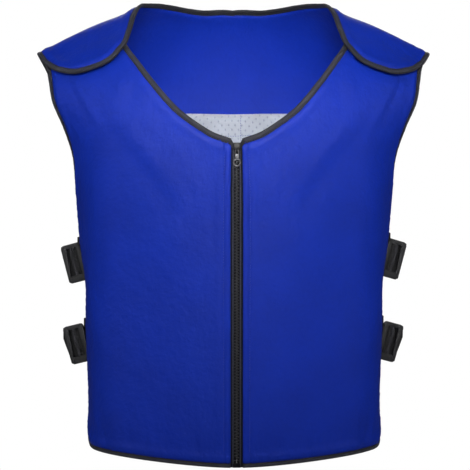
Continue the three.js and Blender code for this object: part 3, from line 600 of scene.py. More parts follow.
def ripple(length, seed):
    """An uneven wave along an edge, from -1 to 1."""
    return sum(
        share * np.sin(2 * math.pi * length / wave + seed * (1.7 + k))
        for k, (wave, share) in enumerate(RIPPLE_WAVES)
    )


FRONT_EDGE = Edge(front_edge(), no_lift, 3.2)
_half = back_edge()
BACK_EDGE = Edge(np.vstack([_half, (_half * (-1, 1))[::-1][1:]]), flap_lift, 3.2, closed=True)


def length_property(name, description, default, **limits):
    return bpy.props.FloatProperty(
        name=name, description=description, default=default, subtype="DISTANCE", unit="LENGTH", **limits
    )


class VestSizes(bpy.types.PropertyGroup):
    puff: length_property(
        "Seam puff", "How far the padded cloth swells beside a bound edge", 0.0013, min=0.0, max=0.003
    )
    pucker: length_property(
        "Seam pucker", "Height of the small gathers beside a bound edge", 0.00055, min=0.0, max=0.002
    )
    pucker_reach: length_property(
        "Pucker reach", "How far the gathers run into the cloth", 0.011, min=0.002, max=0.04
    )
    stitch_length: length_property(
        "Stitch length", "Length of one stitch of the machine seams", 0.0026, min=0.001, max=0.006
    )
    tooth_pitch: length_property(
        "Tooth pitch",
        "Distance from one tooth of the zip to the next on the same side",
        0.0038,
        min=0.0015,
        max=0.006,
    )


def colour_property(name, description, default):
    return bpy.props.FloatVectorProperty(
        name=name, description=description, default=default, size=3, min=0.0, max=1.0, subtype="COLOR"
    )


class VestColours(bpy.types.PropertyGroup):
    nylon: colour_property("Nylon", "Outer cloth", (0.0035, 0.0285, 0.42))
    binding: colour_property("Binding", "Tape folded round the edges", (0.0125, 0.0128, 0.018))
    mesh: colour_property("Mesh", "Knitted lining of the back", (0.5, 0.535, 0.6))
    tape: colour_property("Zip tape", "Woven tape of the zip", (0.006, 0.0065, 0.01))
    plastic: colour_property("Plastic", "Zip teeth and buckles", (0.017, 0.017, 0.019))
    webbing: colour_property("Webbing", "Side straps", (0.0045, 0.0045, 0.0055))
    enamel: colour_property("Enamel", "Zip slider and bottom box", (0.006, 0.006, 0.007))
    metal: colour_property("Metal", "Pull tab of the zip", (0.1, 0.1, 0.105))


class VestStage(bpy.types.PropertyGroup):
    room_light: bpy.props.FloatProperty(
        name="Room light",
        description="Strength of the even light from all round",
        default=0.045,
        min=0.0,
        max=2.0,
        subtype="FACTOR",
    )
    floor_height: length_property("Floor", "Height of the floor under the vest", -1.25)
    camera_distance: length_property(
        "Camera distance", "How far the camera stands in front of the vest", 2.72, min=0.5
    )


class Shader:
    """A short way to wire up a procedural material."""

    def __init__(self, name):
        self.material = bpy.data.materials.new(name)
        self.material.use_nodes = True
        self.tree = self.material.node_tree
        self.nodes = self.tree.nodes
        self.surface = self.nodes["Principled BSDF"]

    def link(self, source, target):
        self.tree.links.new(source, target)

    def put(self, value, socket):
        if isinstance(value, (int, float, tuple)):
            socket.default_value = value
        else:
            self.link(value, socket)

    def math(self, operation, *values, clamp=False):
        node = self.nodes.new("ShaderNodeMath")
        node.operation = operation
        node.use_clamp = clamp
        for value, socket in zip(values, node.inputs):
            self.put(value, socket)
        return node.outputs[0]

    def pattern(self):
        """Across, run and out of the cloth, in metres."""
        node = self.nodes.new("ShaderNodeAttribute")
        node.attribute_name = "pattern"
        split = self.nodes.new("ShaderNodeSeparateXYZ")
        self.link(node.outputs["Vector"], split.inputs[0])
        return node.outputs["Vector"], split.outputs

    def object_place(self):
        return self.nodes.new("ShaderNodeTexCoord").outputs["Object"]

    def noise(self, place, scale, detail=2.0, roughness=0.5, stretch=None):
        if stretch:
            mapping = self.nodes.new("ShaderNodeMapping")
            self.link(place, mapping.inputs["Vector"])
            mapping.inputs["Scale"].default_value = stretch
            place = mapping.outputs["Vector"]
        node = self.nodes.new("ShaderNodeTexNoise")
        self.link(place, node.inputs["Vector"])
        node.inputs["Scale"].default_value = scale
        node.inputs["Detail"].default_value = detail
        node.inputs["Roughness"].default_value = roughness
        return node.outputs["Fac"]

    def spread(self, value, from_low, from_high, to_low, to_high):
        node = self.nodes.new("ShaderNodeMapRange")
        for v, socket in zip((value, from_low, from_high, to_low, to_high), node.inputs):
            self.put(v, socket)
        return node.outputs[0]

    def mix(self, share, first, second):
        node = self.nodes.new("ShaderNodeMix")
        node.data_type = "RGBA"
        self.put(share, node.inputs[0])
        self.put(first, node.inputs[6])
        self.put(second, node.inputs[7])
        return node.outputs[2]

    def bump(self, height, distance, strength=1.0, below=None):
        node = self.nodes.new("ShaderNodeBump")
        node.inputs["Strength"].default_value = strength
        node.inputs["Distance"].default_value = distance
        self.link(height, node.inputs["Height"])
        if below is not None:
            self.link(below, node.inputs["Normal"])
        return node.outputs[0]

    def finish(self, colour, roughness, normal=None, **values):
        self.put(colour, self.surface.inputs["Base Color"])
        self.put(roughness, self.surface.inputs["Roughness"])
        if normal is not None:
            self.link(normal, self.surface.inputs["Normal"])
        for name, value in values.items():
            self.surface.inputs[name.replace("_", " ")].default_value = value
        return self.material


def rgba(colour, scale=1.0):
    return (*(min(1.0, c * scale) for c in colour), 1.0)


def wave_of(shader, value, pitch):
    """A wave from 0 to 1 along one pattern direction."""
    turned = shader.math("MULTIPLY", value, 2 * math.pi / pitch)
    return shader.math("MULTIPLY_ADD", shader.math("SINE", turned), 0.5, 0.5)


def nylon(colour):
    s = Shader("satin_nylon")
    place, (across, run, _) = s.pattern()
    weave = s.math("MULTIPLY", wave_of(s, across, 0.0009), wave_of(s, run, 0.0007))
    slub = s.noise(place, 900.0, 3.0, 0.6, (1.0, 0.35, 1.0))
    clouds = s.noise(place, 16.0, 3.0, 0.55)
    fine = s.noise(place, 210.0, 4.0, 0.65)
    crumple = s.noise(place, 48.0, 4.0, 0.6, (1.0, 0.7, 1.0))
    tone = s.math("ADD", s.math("MULTIPLY", clouds, 0.6), s.math("MULTIPLY", fine, 0.4))
    base = s.mix(s.spread(tone, 0.3, 0.7, 0.0, 1.0), rgba(colour, 0.86), rgba(colour, 1.12))
    first = s.bump(crumple, 0.0022, 0.9)
    second = s.bump(fine, 0.0005, 0.6, first)
    third = s.bump(s.math("ADD", weave, slub), 0.00008, 0.6, second)
    rough = s.spread(s.math("ADD", fine, slub), 0.6, 1.4, 0.44, 0.6)
    return s.finish(base, rough, third, Specular_IOR_Level=0.2)


def binding_tape(colour):
    s = Shader("binding_tape")
    place, (along, across, _) = s.pattern()
    rib = wave_of(s, s.math("ADD", along, across), 0.0011)
    fine = s.noise(place, 620.0, 3.0, 0.6)
    worn = s.noise(place, 40.0, 3.0, 0.5)
    base = s.mix(s.spread(worn, 0.3, 0.7, 0.0, 1.0), rgba(colour, 0.75), rgba(colour, 1.3))
    base = s.mix(s.math("MULTIPLY", rib, 0.3), base, rgba(colour, 1.8))
    # painted highlight: the tape's crown is painted lighter where light catches its ridge, in patches that
    # follow the worn noise
    off_crown = s.math("ABSOLUTE", s.math("SUBTRACT", across, TAPE_CROWN * MM))
    near_crown = s.spread(off_crown, 0.001, 0.0045, 1.0, 0.0)
    painted_crown_highlight = s.math("MULTIPLY", near_crown, s.spread(worn, 0.25, 0.7, 0.3, 0.9))
    base = s.mix(painted_crown_highlight, base, rgba(colour, 3.4))
    normal = s.bump(s.math("ADD", rib, fine), 0.00016, 0.8)
    return s.finish(base, 0.68, normal, Sheen_Weight=0.06, Sheen_Roughness=0.5, Specular_IOR_Level=0.35)


# The panel's blue cloth as it shows through the holes of the mesh, with painted shade from lying behind the
# knit
SHADED_CLOTH_IN_HOLES = (0.16, 0.2, 0.36)


def knitted_mesh(colour):
    """Staggered holes in a pale knit, with the cloth behind showing through them in painted shade."""
    s = Shader("knitted_mesh")
    place, (across, run, _) = s.pattern()
    pitch_across, pitch_run = 0.0104, 0.0084

    def off_lattice(shift):
        u = s.math("WRAP", s.math("ADD", s.math("DIVIDE", across, pitch_across), shift), 0.5, -0.5)
        v = s.math("WRAP", s.math("ADD", s.math("DIVIDE", run, pitch_run), shift), 0.5, -0.5)
        u, v = s.math("MULTIPLY", u, pitch_across), s.math("MULTIPLY", v, pitch_run)
        return s.math("SQRT", s.math("ADD", s.math("MULTIPLY", u, u), s.math("MULTIPLY", v, v)))

    off = s.math("MINIMUM", off_lattice(0.0), off_lattice(0.5))
    hole = s.spread(off, 0.0006, 0.0014, 1.0, 0.0)
    knit = s.math("MULTIPLY", wave_of(s, across, 0.0011), wave_of(s, run, 0.0015))
    clouds = s.noise(place, 30.0, 3.0, 0.5)
    pale = s.mix(s.spread(clouds, 0.3, 0.7, 0.0, 1.0), rgba(colour, 0.92), rgba(colour, 1.12))
    pale = s.mix(s.math("MULTIPLY", knit, 0.25), pale, rgba(colour, 0.75))
    # painted shade: the holes take the blue cloth's colour, darkened by painted shade behind the knit
    base = s.mix(s.math("MULTIPLY", hole, 0.4), pale, rgba(SHADED_CLOTH_IN_HOLES))
    height = s.math("SUBTRACT", s.math("MULTIPLY", knit, 0.3), hole)
    normal = s.bump(height, 0.0006, 0.9)
    return s.finish(base, 0.85, normal, Sheen_Weight=0.3, Sheen_Roughness=0.6)


def woven_tape(name, colour, rib_pitch, lengthwise, cord_at=None):
    """Narrow woven goods: zip tape, with fine ribs across it, or webbing, with cords along it and a painted
    highlight where it rises over a buckle's bar.
    """
    s = Shader(name)
    place, (across, along, raised) = s.pattern()
    rib = wave_of(s, across if lengthwise else along, rib_pitch)
    cross = wave_of(s, along if lengthwise else across, rib_pitch * 0.6)
    fine = s.noise(place, 700.0, 3.0, 0.6)
    woven = s.math("ADD", s.math("MULTIPLY", rib, 0.7), s.math("MULTIPLY", cross, 0.3))
    base = s.mix(s.math("MULTIPLY", woven, 0.6), rgba(colour, 0.7), rgba(colour, 1.9))
    base = s.mix(s.spread(fine, 0.35, 0.65, 0.0, 0.35), base, rgba(colour, 2.6))
    # painted highlight: where the webbing rises over the buckle's middle bar it is painted lighter, as if lit
    base = s.mix(s.spread(raised, 0.001, 0.0038, 0.0, 1.0), base, rgba(colour, 6.0))
    if cord_at:
        off_cord = s.math("ABSOLUTE", s.math("SUBTRACT", across, cord_at * MM))
        pale = s.mix(s.spread(fine, 0.35, 0.65, 0.0, 1.0), rgba(colour, 6.0), rgba(colour, 14.0))
        base = s.mix(s.spread(off_cord, 0.0006, 0.0011, 1.0, 0.0), base, pale)
    normal = s.bump(s.math("ADD", woven, s.math("MULTIPLY", fine, 0.4)), 0.0003, 0.8)
    return s.finish(base, 0.7, normal, Sheen_Weight=0.05, Sheen_Roughness=0.5, Specular_IOR_Level=0.35)


def thread(name, colour):
    s = Shader(name)
    place = s.object_place()
    twist = s.noise(place, 2400.0, 2.0, 0.5)
    base = s.mix(twist, rgba(colour, 0.7), rgba(colour, 1.4))
    return s.finish(base, 0.6, s.bump(twist, 0.0001, 0.6), Sheen_Weight=0.2)


def moulded_plastic(name, colour, roughness, specular=0.5):
    s = Shader(name)
    place = s.object_place()
    grain = s.noise(place, 1500.0, 3.0, 0.6)
    wear = s.noise(place, 90.0, 4.0, 0.6)
    base = s.mix(s.spread(wear, 0.45, 0.75, 0.0, 1.0), rgba(colour), rgba(colour, 1.8))
    rough = s.spread(wear, 0.3, 0.7, roughness - 0.06, roughness + 0.1)
    return s.finish(base, rough, s.bump(grain, 0.00005, 0.4), Specular_IOR_Level=specular)


def plated_metal(colour):
    s = Shader("plated_metal")
    place = s.object_place()
    brushed = s.noise(place, 420.0, 4.0, 0.6, (1.0, 1.0, 0.15))
    wear = s.noise(place, 260.0, 4.0, 0.65)
    base = s.mix(s.spread(wear, 0.5, 0.75, 0.0, 1.0), rgba(colour), rgba(colour, 1.7))
    rough = s.spread(brushed, 0.3, 0.7, 0.36, 0.5)
    return s.finish(base, rough, s.bump(brushed, 0.00004, 0.5), Metallic=1.0)


MADE = {}


def material(name):
    """The vest's materials, made once from the colours in the settings."""
    if name not in MADE:
        c = bpy.context.scene.vest_colours
        makers = {
            "nylon": lambda: nylon(c.nylon),
            "binding": lambda: binding_tape(c.binding),
            "mesh": lambda: knitted_mesh(c.mesh),
            "tape": lambda: woven_tape("zip_tape", c.tape, 0.0013, False, ZIP_CORD_AT),
            "webbing": lambda: woven_tape("webbing", c.webbing, 0.0031, True),
            "plastic": lambda: moulded_plastic("buckle_plastic", c.plastic, 0.5),
            "teeth": lambda: moulded_plastic("zip_teeth_plastic", [v * 1.7 for v in c.plastic], 0.45),
            "metal": lambda: plated_metal(c.metal),
            "enamel": lambda: moulded_plastic("black_enamel", c.enamel, 0.36, 0.2),
            "blue_thread": lambda: thread("blue_thread", [v * 0.8 for v in c.nylon]),
            "black_thread": lambda: thread("black_thread", [v * 1.5 for v in c.binding]),
            "lining_thread": lambda: thread("lining_thread", (0.1, 0.15, 0.4)),
        }
        MADE[name] = makers[name]()
    return MADE[name]


def pattern_layer(bm):
    return bm.verts.layers.float_vector.get("pattern") or bm.verts.layers.float_vector.new("pattern")


def pattern_from_place(bm):
    layer = pattern_layer(bm)
    for v in bm.verts:
        v[layer] = v.co


def patterned(bm):
    """The pattern coordinates held by each vertex, in millimetres."""
    layer = pattern_layer(bm)
    return np.array([v[layer][:] for v in bm.verts], float) / MM


def place_all(bm, points):
    for v, p in zip(bm.verts, points * MM):
        v.co = p


def grid(columns, rows):
    """A flat grid whose vertices know their column and row."""
    bm = bmesh.new()
    bmesh.ops.create_grid(bm, x_segments=columns - 1, y_segments=rows - 1, size=1.0)
    at = np.array([v.co[:2] for v in bm.verts])
    counts = np.array([columns - 1, rows - 1])
    return bm, np.rint((at + 1) / 2 * counts).astype(int)


def piece(bm, name, finish, body="vest", replaces=(), smooth=True):
    mesh = bpy.data.meshes.new(name)
    bm.to_mesh(mesh)
    bm.free()
    for polygon in mesh.polygons:
        polygon.use_smooth = smooth
    mesh.materials.append(material(finish))
    made = bpy.data.objects.new(name, mesh)
    bpy.context.scene.collection.objects.link(made)
    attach(made, body)
    if replaces:
        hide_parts(*replaces)
    return made


def band(place, columns, rows, closed_columns, patterns):
    """A tube: place(column, row) gives points in millimetres, and its rows close on themselves."""
    bm, index = grid(columns + (1 if closed_columns else 0), rows + 1)
    column, row = index[:, 0] % columns, index[:, 1] % rows
    place_all(bm, place(column, row))
    layer = pattern_layer(bm)
    for v, p in zip(bm.verts, patterns(index[:, 0], index[:, 1]) * MM):
        v[layer] = p
    bmesh.ops.remove_doubles(bm, verts=bm.verts[:], dist=1e-6)
    if not closed_columns:
        bmesh.ops.holes_fill(bm, edges=[e for e in bm.edges if e.is_boundary], sides=0)
    bmesh.ops.recalc_face_normals(bm, faces=bm.faces[:])
    return bm


def thread_path(points, normals, stitch, gap, thickness):
    """Short stitches along a line, as matrices."""
    length = length_along(points)
    count = int(length[-1] / (stitch + gap))
    made = []
    for k in range(count):
        at = (k + 0.5) * (stitch + gap)
        ends = [
            Vector([np.interp(at + s * stitch / 2, length, points[:, i]) for i in range(3)])
            for s in (-1, 1)
        ]
        normal = Vector([np.interp(at, length, normals[:, i]) for i in range(3)]).normalized()
        along = (ends[1] - ends[0]).normalized()
        side = along.cross(normal).normalized()
        normal = side.cross(along)
        turn = turned_to(along, side, normal)
        size = Matrix.Diagonal((stitch / 2, thickness / 2, thickness / 2, 1))
        middle = (ends[0] + ends[1]) / 2 + normal * (thickness * 0.25)
        made.append(Matrix.Scale(MM, 4) @ Matrix.Translation(middle) @ turn @ size)
    return made


def repeated(matrices, make_one):
    """One shape made at each matrix, a few at a time so that a long row stays quick to build."""
    whole = bmesh.new()
    holder = bpy.data.meshes.new("holder")
    for start in range(0, len(matrices), 40):
        bm = bmesh.new()
        for matrix in matrices[start : start + 40]:
            make_one(bm, matrix)
        bm.to_mesh(holder)
        bm.free()
        whole.from_mesh(holder)
    bpy.data.meshes.remove(holder)
    return whole


def one_stitch(bm, matrix):
    bmesh.ops.create_uvsphere(bm, u_segments=6, v_segments=4, radius=1.0, matrix=matrix)


def sewn(name, matrices, finish):
    return piece(repeated(matrices, one_stitch), name, finish)


def mirrored(values):
    return values * np.array([-1.0, 1.0, 1.0])


def cut_grid(across_lines, run_lines, polygon):
    """A flat cloth on the pattern's grid lines, cut to a polygon."""
    bm, index = grid(len(across_lines), len(run_lines))
    places = np.stack([across_lines[index[:, 0]], run_lines[index[:, 1]]], axis=-1)
    held = inside(places, polygon)
    layer = pattern_layer(bm)
    verts = bm.verts[:]
    keep = {v for v, h in zip(verts, held) if h}
    for v, p in zip(verts, places):
        v[layer] = (p[0] * MM, p[1] * MM, 0.0)
    lost = [f for f in bm.faces if not all(v in keep for v in f.verts)]
    bmesh.ops.delete(bm, geom=lost, context="FACES")
    bmesh.ops.delete(bm, geom=[v for v in bm.verts if not v.link_faces], context="VERTS")
    # a corner that hangs on by one face would fold when the rim is pulled to the outline
    for _ in range(3):
        spurs = [f for f in bm.faces if sum(e.is_boundary for e in f.edges) >= 3]
        if not spurs:
            break
        bmesh.ops.delete(bm, geom=spurs, context="FACES")
        bmesh.ops.delete(bm, geom=[v for v in bm.verts if not v.link_faces], context="VERTS")
    rim = [v for v in bm.verts if v.is_boundary]
    fine = []
    for a, b in zip(polygon, np.roll(polygon, -1, axis=0)):
        count = max(1, int(np.linalg.norm(b - a) / 0.4))
        fine += [a + (b - a) * k / count for k in range(count)]
    fine = np.array(fine)
    rim_places = np.array([(v[layer][0] / MM, v[layer][1] / MM) for v in rim])
    found, _ = nearest(rim_places, fine)
    for v, i in zip(rim, found):
        v[layer] = (fine[i, 0] * MM, fine[i, 1] * MM, 0.0)
    return bm


def two_faced(bm, lift, heights):
    """Gives a flat cloth its two faces and its edge wall, then drapes it at the levels that heights gives."""
    made = bmesh.ops.extrude_face_region(bm, geom=bm.faces[:], use_keep_orig=True)
    outer = {v for v in made["geom"] if isinstance(v, bmesh.types.BMVert)}
    places = patterned(bm)[:, :2]
    is_outer = np.array([v in outer for v in bm.verts])
    top, bottom = heights(places)
    out = np.where(is_outer, top, bottom)
    place_all(bm, drape(places[:, 0], places[:, 1], out, lift))
    bmesh.ops.recalc_face_normals(bm, faces=bm.faces[:])
    return bm


def bump_at(value, middle, width):
    return np.exp(-(((value - middle) / width) ** 2))


def padded_heights(edge, seed, zip_side=False):
    """Levels of the two faces of a padded panel: pinched and puckered beside its bound edge, then full."""
    sizes = bpy.context.scene.vest_sizes
    puff, pucker, reach = sizes.puff / MM, sizes.pucker / MM, sizes.pucker_reach / MM

    def heights(places):
        at = drape(places[:, 0], places[:, 1], 0, edge.lift)
        found, off = nearest(at, edge.at)
        length = edge.length[found]
        past = off - edge.width[found]
        rise = smooth_between(past, PINCH_STARTS, PUFF_AT)
        swell = puff * bump_at(past, PUFF_AT, PUFF_WIDTH) * smooth_between(past, PINCH_STARTS, 3)
        gathers = pucker * ripple(length + 0.35 * off, seed) * np.exp(-np.maximum(past, 0) / reach)
        gathers *= smooth_between(past, PINCH_STARTS, 2.5)
        level = PINCHED_LEVEL + (HALF_PANEL - PINCHED_LEVEL) * rise
        top = level + swell + gathers
        bottom = -level - 0.5 * swell + 0.4 * gathers
        if zip_side:
            beside = np.abs(places[:, 0]) - ZIP_ACROSS
            rounded = np.sqrt(np.clip(1 - (1 - np.clip(beside / ZIP_FOLD_RADIUS, 0, 1)) ** 2, 0, 1))
            groove = 0.5 * bump_at(beside, ZIP_SEAM_BESIDE, 1.1)
            soft = 0.35 * bump_at(beside, 4.2, 2.2)
            far = 0.3 * bump_at(beside, 13.0, 4.0) * (1 + 0.5 * ripple(places[:, 1], seed + 3))
            top = (top + soft + far - groove) * (0.25 + 0.75 * rounded)
            bottom = bottom * (0.25 + 0.75 * rounded)
        fold = crease_rise(places[:, 0], places[:, 1])
        return top + fold, bottom + fold

    return heights


def stepped(*stretches):
    """Grid lines from stretches of (start, end, step), joined."""
    lines = []
    for start, end, step in stretches:
        count = max(1, int(round(abs(end - start) / step)))
        lines += list(np.linspace(start, end, count + 1)[:-1])
    lines.append(stretches[-1][1])
    return np.array(lines)


def make_front_panel(side, name, replaces):
    across = stepped(
        (ZIP_ACROSS, ZIP_ACROSS + 4, 0.8),
        (ZIP_ACROSS + 4, ZIP_ACROSS + 12, 0.9),
        (ZIP_ACROSS + 12, ZIP_ACROSS + 24, 2.0),
        (ZIP_ACROSS + 24, HALF_PATTERN, 3.1),
    )
    run = stepped(
        (FRONT_RUN, FRONT_RUN + 60, 2.6),
        (FRONT_RUN + 60, -150, 3.4),
        (-150, -SHOULDER_END_RUN, 2.7),
    )
    polygon = FRONT_EDGE.inset(np.full(len(FRONT_EDGE.points), CLOTH_IN_BINDING))
    just_past = ZIP_ACROSS - 1e-4
    polygon[:, 0] = np.maximum(polygon[:, 0], ZIP_ACROSS)
    polygon[0] = (just_past, polygon[1][1])
    polygon[-1, 0] = just_past
    polygon[:, 0] = np.where(polygon[:, 0] <= ZIP_ACROSS, just_past, polygon[:, 0])
    bm = cut_grid(across, run, polygon)
    two_faced(bm, no_lift, padded_heights(FRONT_EDGE, 1.0 if side > 0 else 2.3, zip_side=True))
    if side < 0:
        flip(bm)
    return piece(bm, name, "nylon", replaces=replaces)


def flip(bm):
    """Turns a right-hand piece into its left-hand one."""
    bmesh.ops.scale(bm, vec=(-1, 1, 1), verts=bm.verts[:])
    bmesh.ops.reverse_faces(bm, faces=bm.faces[:])


def make_back_panel(name, replaces):
    across = stepped((-HALF_PATTERN, HALF_PATTERN, 3.3))
    run = stepped(
        (-125, 70, 2.7),
        (70, 300, 4.4),
        (300, BACK_RUN - 40, 4.8),
        (BACK_RUN - 40, BACK_RUN, 2.8),
    )
    polygon = BACK_EDGE.inset(np.full(len(BACK_EDGE.points), CLOTH_IN_BINDING))
    bm = cut_grid(across, run, polygon)
    two_faced(bm, flap_lift, padded_heights(BACK_EDGE, 4.1))
    return piece(bm, name, "nylon", replaces=replaces)


def make_lining(name, replaces):
    across = stepped((-HALF_PATTERN, HALF_PATTERN, 3.4))
    shares = np.array([-1.1, -0.9, -0.45, 0, 0.45, 0.9, 1.1])
    heights = (LINING_MIDDLE + (LINING_END - LINING_MIDDLE) * shares**2) * BODY_LENGTH
    reach = np.minimum(np.abs(shares) * HALF_PATTERN, HALF_PATTERN)
    tops = run_at_height(reach, heights, 0, BACK_RUN)
    knots = np.stack([shares * HALF_PATTERN, tops], axis=-1)
    top_line = np.array([knots[0], *curve_through(knots)])
    start = float(tops.min())
    run = stepped((start - 3, start + 60, 2.6), (start + 60, BACK_RUN, 4.6))
    outline = BACK_EDGE.inset(np.full(len(BACK_EDGE.points), BINDING_WIDTH + 0.6))
    # the part of the outline below the top line, closed along that line
    top_run = np.interp(outline[:, 0], top_line[:, 0], top_line[:, 1])
    polygon = np.stack([outline[:, 0], np.maximum(outline[:, 1], top_run)], axis=-1)
    bm = cut_grid(across, run, polygon)

    def heights_of(places):
        top_run = np.interp(places[:, 0], top_line[:, 0], top_line[:, 1])
        below = places[:, 1] - top_run
        hem = 0.55 * (1 - smooth_between(below, 5.0, 7.0)) * smooth_between(below, -0.5, 1.5)
        dimple = 0.3 * bump_at(below, LINING_SEAM_BELOW, 1.6)
        dimple += 0.3 * bump_at(places[:, 0], LINING_SEAM_ACROSS, 1.4)
        top = np.full(len(places), LINING_OUT)
        slack = 0.35 * ripple(places[:, 0] * 0.5, 1.1) * bump_at(below, 14, 14.0)
        bottom = LINING_OUT - LINING_THICKNESS - hem + dimple - np.abs(slack)
        # the lining follows the panel's folds, so that none of them comes through it
        fold = crease_rise(places[:, 0], places[:, 1])
        return top + fold, bottom + fold

    two_faced(bm, flap_lift, heights_of)
    return piece(bm, name, "mesh", replaces=replaces), top_line


# Across a folded tape, from its inner edge on the outer face round the fold: share of its width in from
# the fold, and height in millimetres
TAPE_PROFILE = (
    (1.0, 0.7),
    (1.0, 1.25),
    (0.95, 1.6),
    (0.88, 1.55),
    (0.81, 1.15),
    (0.74, 1.6),
    (0.6, 2.05),
    (0.38, 2.2),
    (0.18, 1.9),
    (0.05, 1.25),
    (0.0, 0.55),
)


def make_binding(edge, name, replaces, seed, flip_side=False):
    profile = np.array([*TAPE_PROFILE, (-0.015, 0.0), *[(s, -h) for s, h in TAPE_PROFILE[::-1]]])
    count, columns = len(profile), len(edge.points)
    length = edge.length[:columns]

    def place(column, row):
        share, out = profile[row, 0], profile[row, 1]
        inset = share * edge.width[column]
        sway = 0.14 * ripple(length[column] * 0.6, seed) * (share > 0.7)
        gather = 0.16 * ripple(length[column], seed + 1) * np.sign(out) * (share > 0.02)
        points = np.zeros((len(column), 3))
        for r in range(count):
            at = row == r
            c = column[at]
            q = edge.points[c] + edge.inward[c] * np.maximum(inset[at] + sway[at], 0)[:, None]
            points[at] = drape(q[:, 0], q[:, 1], (out + gather)[at], edge.lift)
            points[at] += edge.left[c] * np.minimum(inset[at], 0)[:, None]
        return points

    def patterns(column, row):
        along = np.append(length, edge.length[-1])[column]
        return np.stack([along, (row + 1) * TAPE_ROW, np.zeros(len(row))], axis=-1)

    bm = band(place, columns, count, edge.closed, patterns)
    if flip_side:
        flip(bm)
    return piece(bm, name, "binding", replaces=replaces)


def edge_stitches(edge):
    """Stitch matrices along the binding's inner edge."""
    sizes = bpy.context.scene.vest_sizes
    inset = EDGE_SEAM_SHARE * edge.width
    points = edge.lay(inset, np.full(len(edge.points), EDGE_SEAM_OUT))
    q = edge.inset(inset)
    normals = outward(worn_point, q[:, 0], q[:, 1])
    return thread_path(points, normals, sizes.stitch_length / MM, 0.9, 0.5)


def turned_to(x, y, z):
    """The turn that takes the three axes to these directions."""
    return Matrix((Vector(x), Vector(y), Vector(z))).transposed().to_4x4()


def zip_frame(run, out):
    """Axes on the worn cloth at the centre line: x across, y up the cloth, z outwards."""
    at, above, below = drape(np.zeros(3), np.array([run, run + 1, run - 1]), out)
    up = (above - below) / np.linalg.norm(above - below)
    normal = np.cross([1.0, 0.0, 0.0], up)
    normal /= np.linalg.norm(normal)
    side = np.cross(up, normal)
    return Matrix.Scale(MM, 4) @ Matrix.Translation(Vector(at)) @ turned_to(side, up, normal)


# Across a zip tape from the teeth outwards: distance from the centre, and height over the tape's back
ZIP_TAPE_PROFILE = (
    (0.06, 0.0),
    (0.06, 0.9),
    (3.4, 0.9),
    (3.7, 1.7),
    (4.1, 2.2),
    (4.7, 2.2),
    (5.1, 1.6),
    (5.4, 0.95),
    (9.0, 0.85),
    (15.0, 0.8),
    (15.25, 0.4),
    (15.0, 0.0),
)


def make_zip_tape(side, name, replaces):
    profile = np.array(ZIP_TAPE_PROFILE)
    runs = stepped((FRONT_RUN, ZIP_TOP_RUN - ZIP_TAPE_BELOW_TOP, 3.0))

    def place(column, row):
        x, up = profile[row, 0], profile[row, 1]
        return drape(x, runs[column], TAPE_OUT - ZIP_TAPE_THICKNESS + up)

    def patterns(column, row):
        return np.stack([profile[row % len(profile), 0], runs[column], np.zeros(len(row))], axis=-1)

    bm = band(place, len(runs), len(profile), False, patterns)
    if side < 0:
        flip(bm)
    made = piece(bm, name, "tape", replaces=replaces)
    line = drape(ZIP_ACROSS, runs, TAPE_OUT)
    return made


def make_tape_end(side, name):
    """The zip tape's top end, folded over slantwise beside the slider and caught under the binding."""
    place = zip_frame(ZIP_TOP_RUN - ZIP_TAPE_BELOW_TOP, 1.3)
    place = place @ Matrix.Translation((side * ZIP_TAPE_END_ACROSS, -0.6, 0))
    place = place @ Matrix.Rotation(math.radians(-side * ZIP_TAPE_END_TURN), 4, "Z")
    bm = bmesh.new()
    rounded_block(bm, *ZIP_TAPE_END_SIZE, 0.5, place)
    pattern_from_place(bm)
    return piece(bm, name, "binding")


def make_zip_teeth(side, name, replaces):
    pitch = bpy.context.scene.vest_sizes.tooth_pitch / MM
    low = FRONT_RUN + BOX_LENGTH + CLEARANCE + 0.8
    high = ZIP_TOP_RUN - SLIDER_BELOW_TOP - SLIDER_LENGTH - CLEARANCE - 0.8
    count = int((high - low) / pitch)
    middle = Matrix.Translation((side * 0.95, 0, 0))
    size = (4.1, pitch * 0.43, ZIP_TEETH_THICKNESS - 0.4)
    out = TAPE_OUT + CLEARANCE + ZIP_TEETH_THICKNESS / 2 - 0.1
    first = 0.25 if side > 0 else 0.75
    places = [zip_frame(low + (k + first) * pitch, out) @ middle for k in range(count)]

    def one_tooth(bm, matrix):
        rounded_block(bm, *size, 0.38, matrix, segments=1)

    teeth = repeated(places, one_tooth)
    return piece(teeth, name, "teeth", replaces=replaces, smooth=False)


def rounded_block(bm, width, length, thickness, corner, matrix, segments=3):
    """A bevelled block, in millimetres before the matrix."""
    made = bmesh.ops.create_cube(bm, size=1.0, matrix=Matrix.Diagonal((width, length, thickness, 1)))
    verts = made["verts"]
    edges = {e for v in verts for e in v.link_edges}
    bevelled = bmesh.ops.bevel(
        bm,
        geom=list(edges),
        offset=corner,
        segments=segments,
        profile=0.5,
        affect="EDGES",
        material=-1,
    )
    faces = {f for v in bevelled["verts"] for f in v.link_faces}
    whole = {v for f in faces for v in f.verts}
    bmesh.ops.transform(bm, matrix=matrix, verts=list(whole))
    return list(whole)


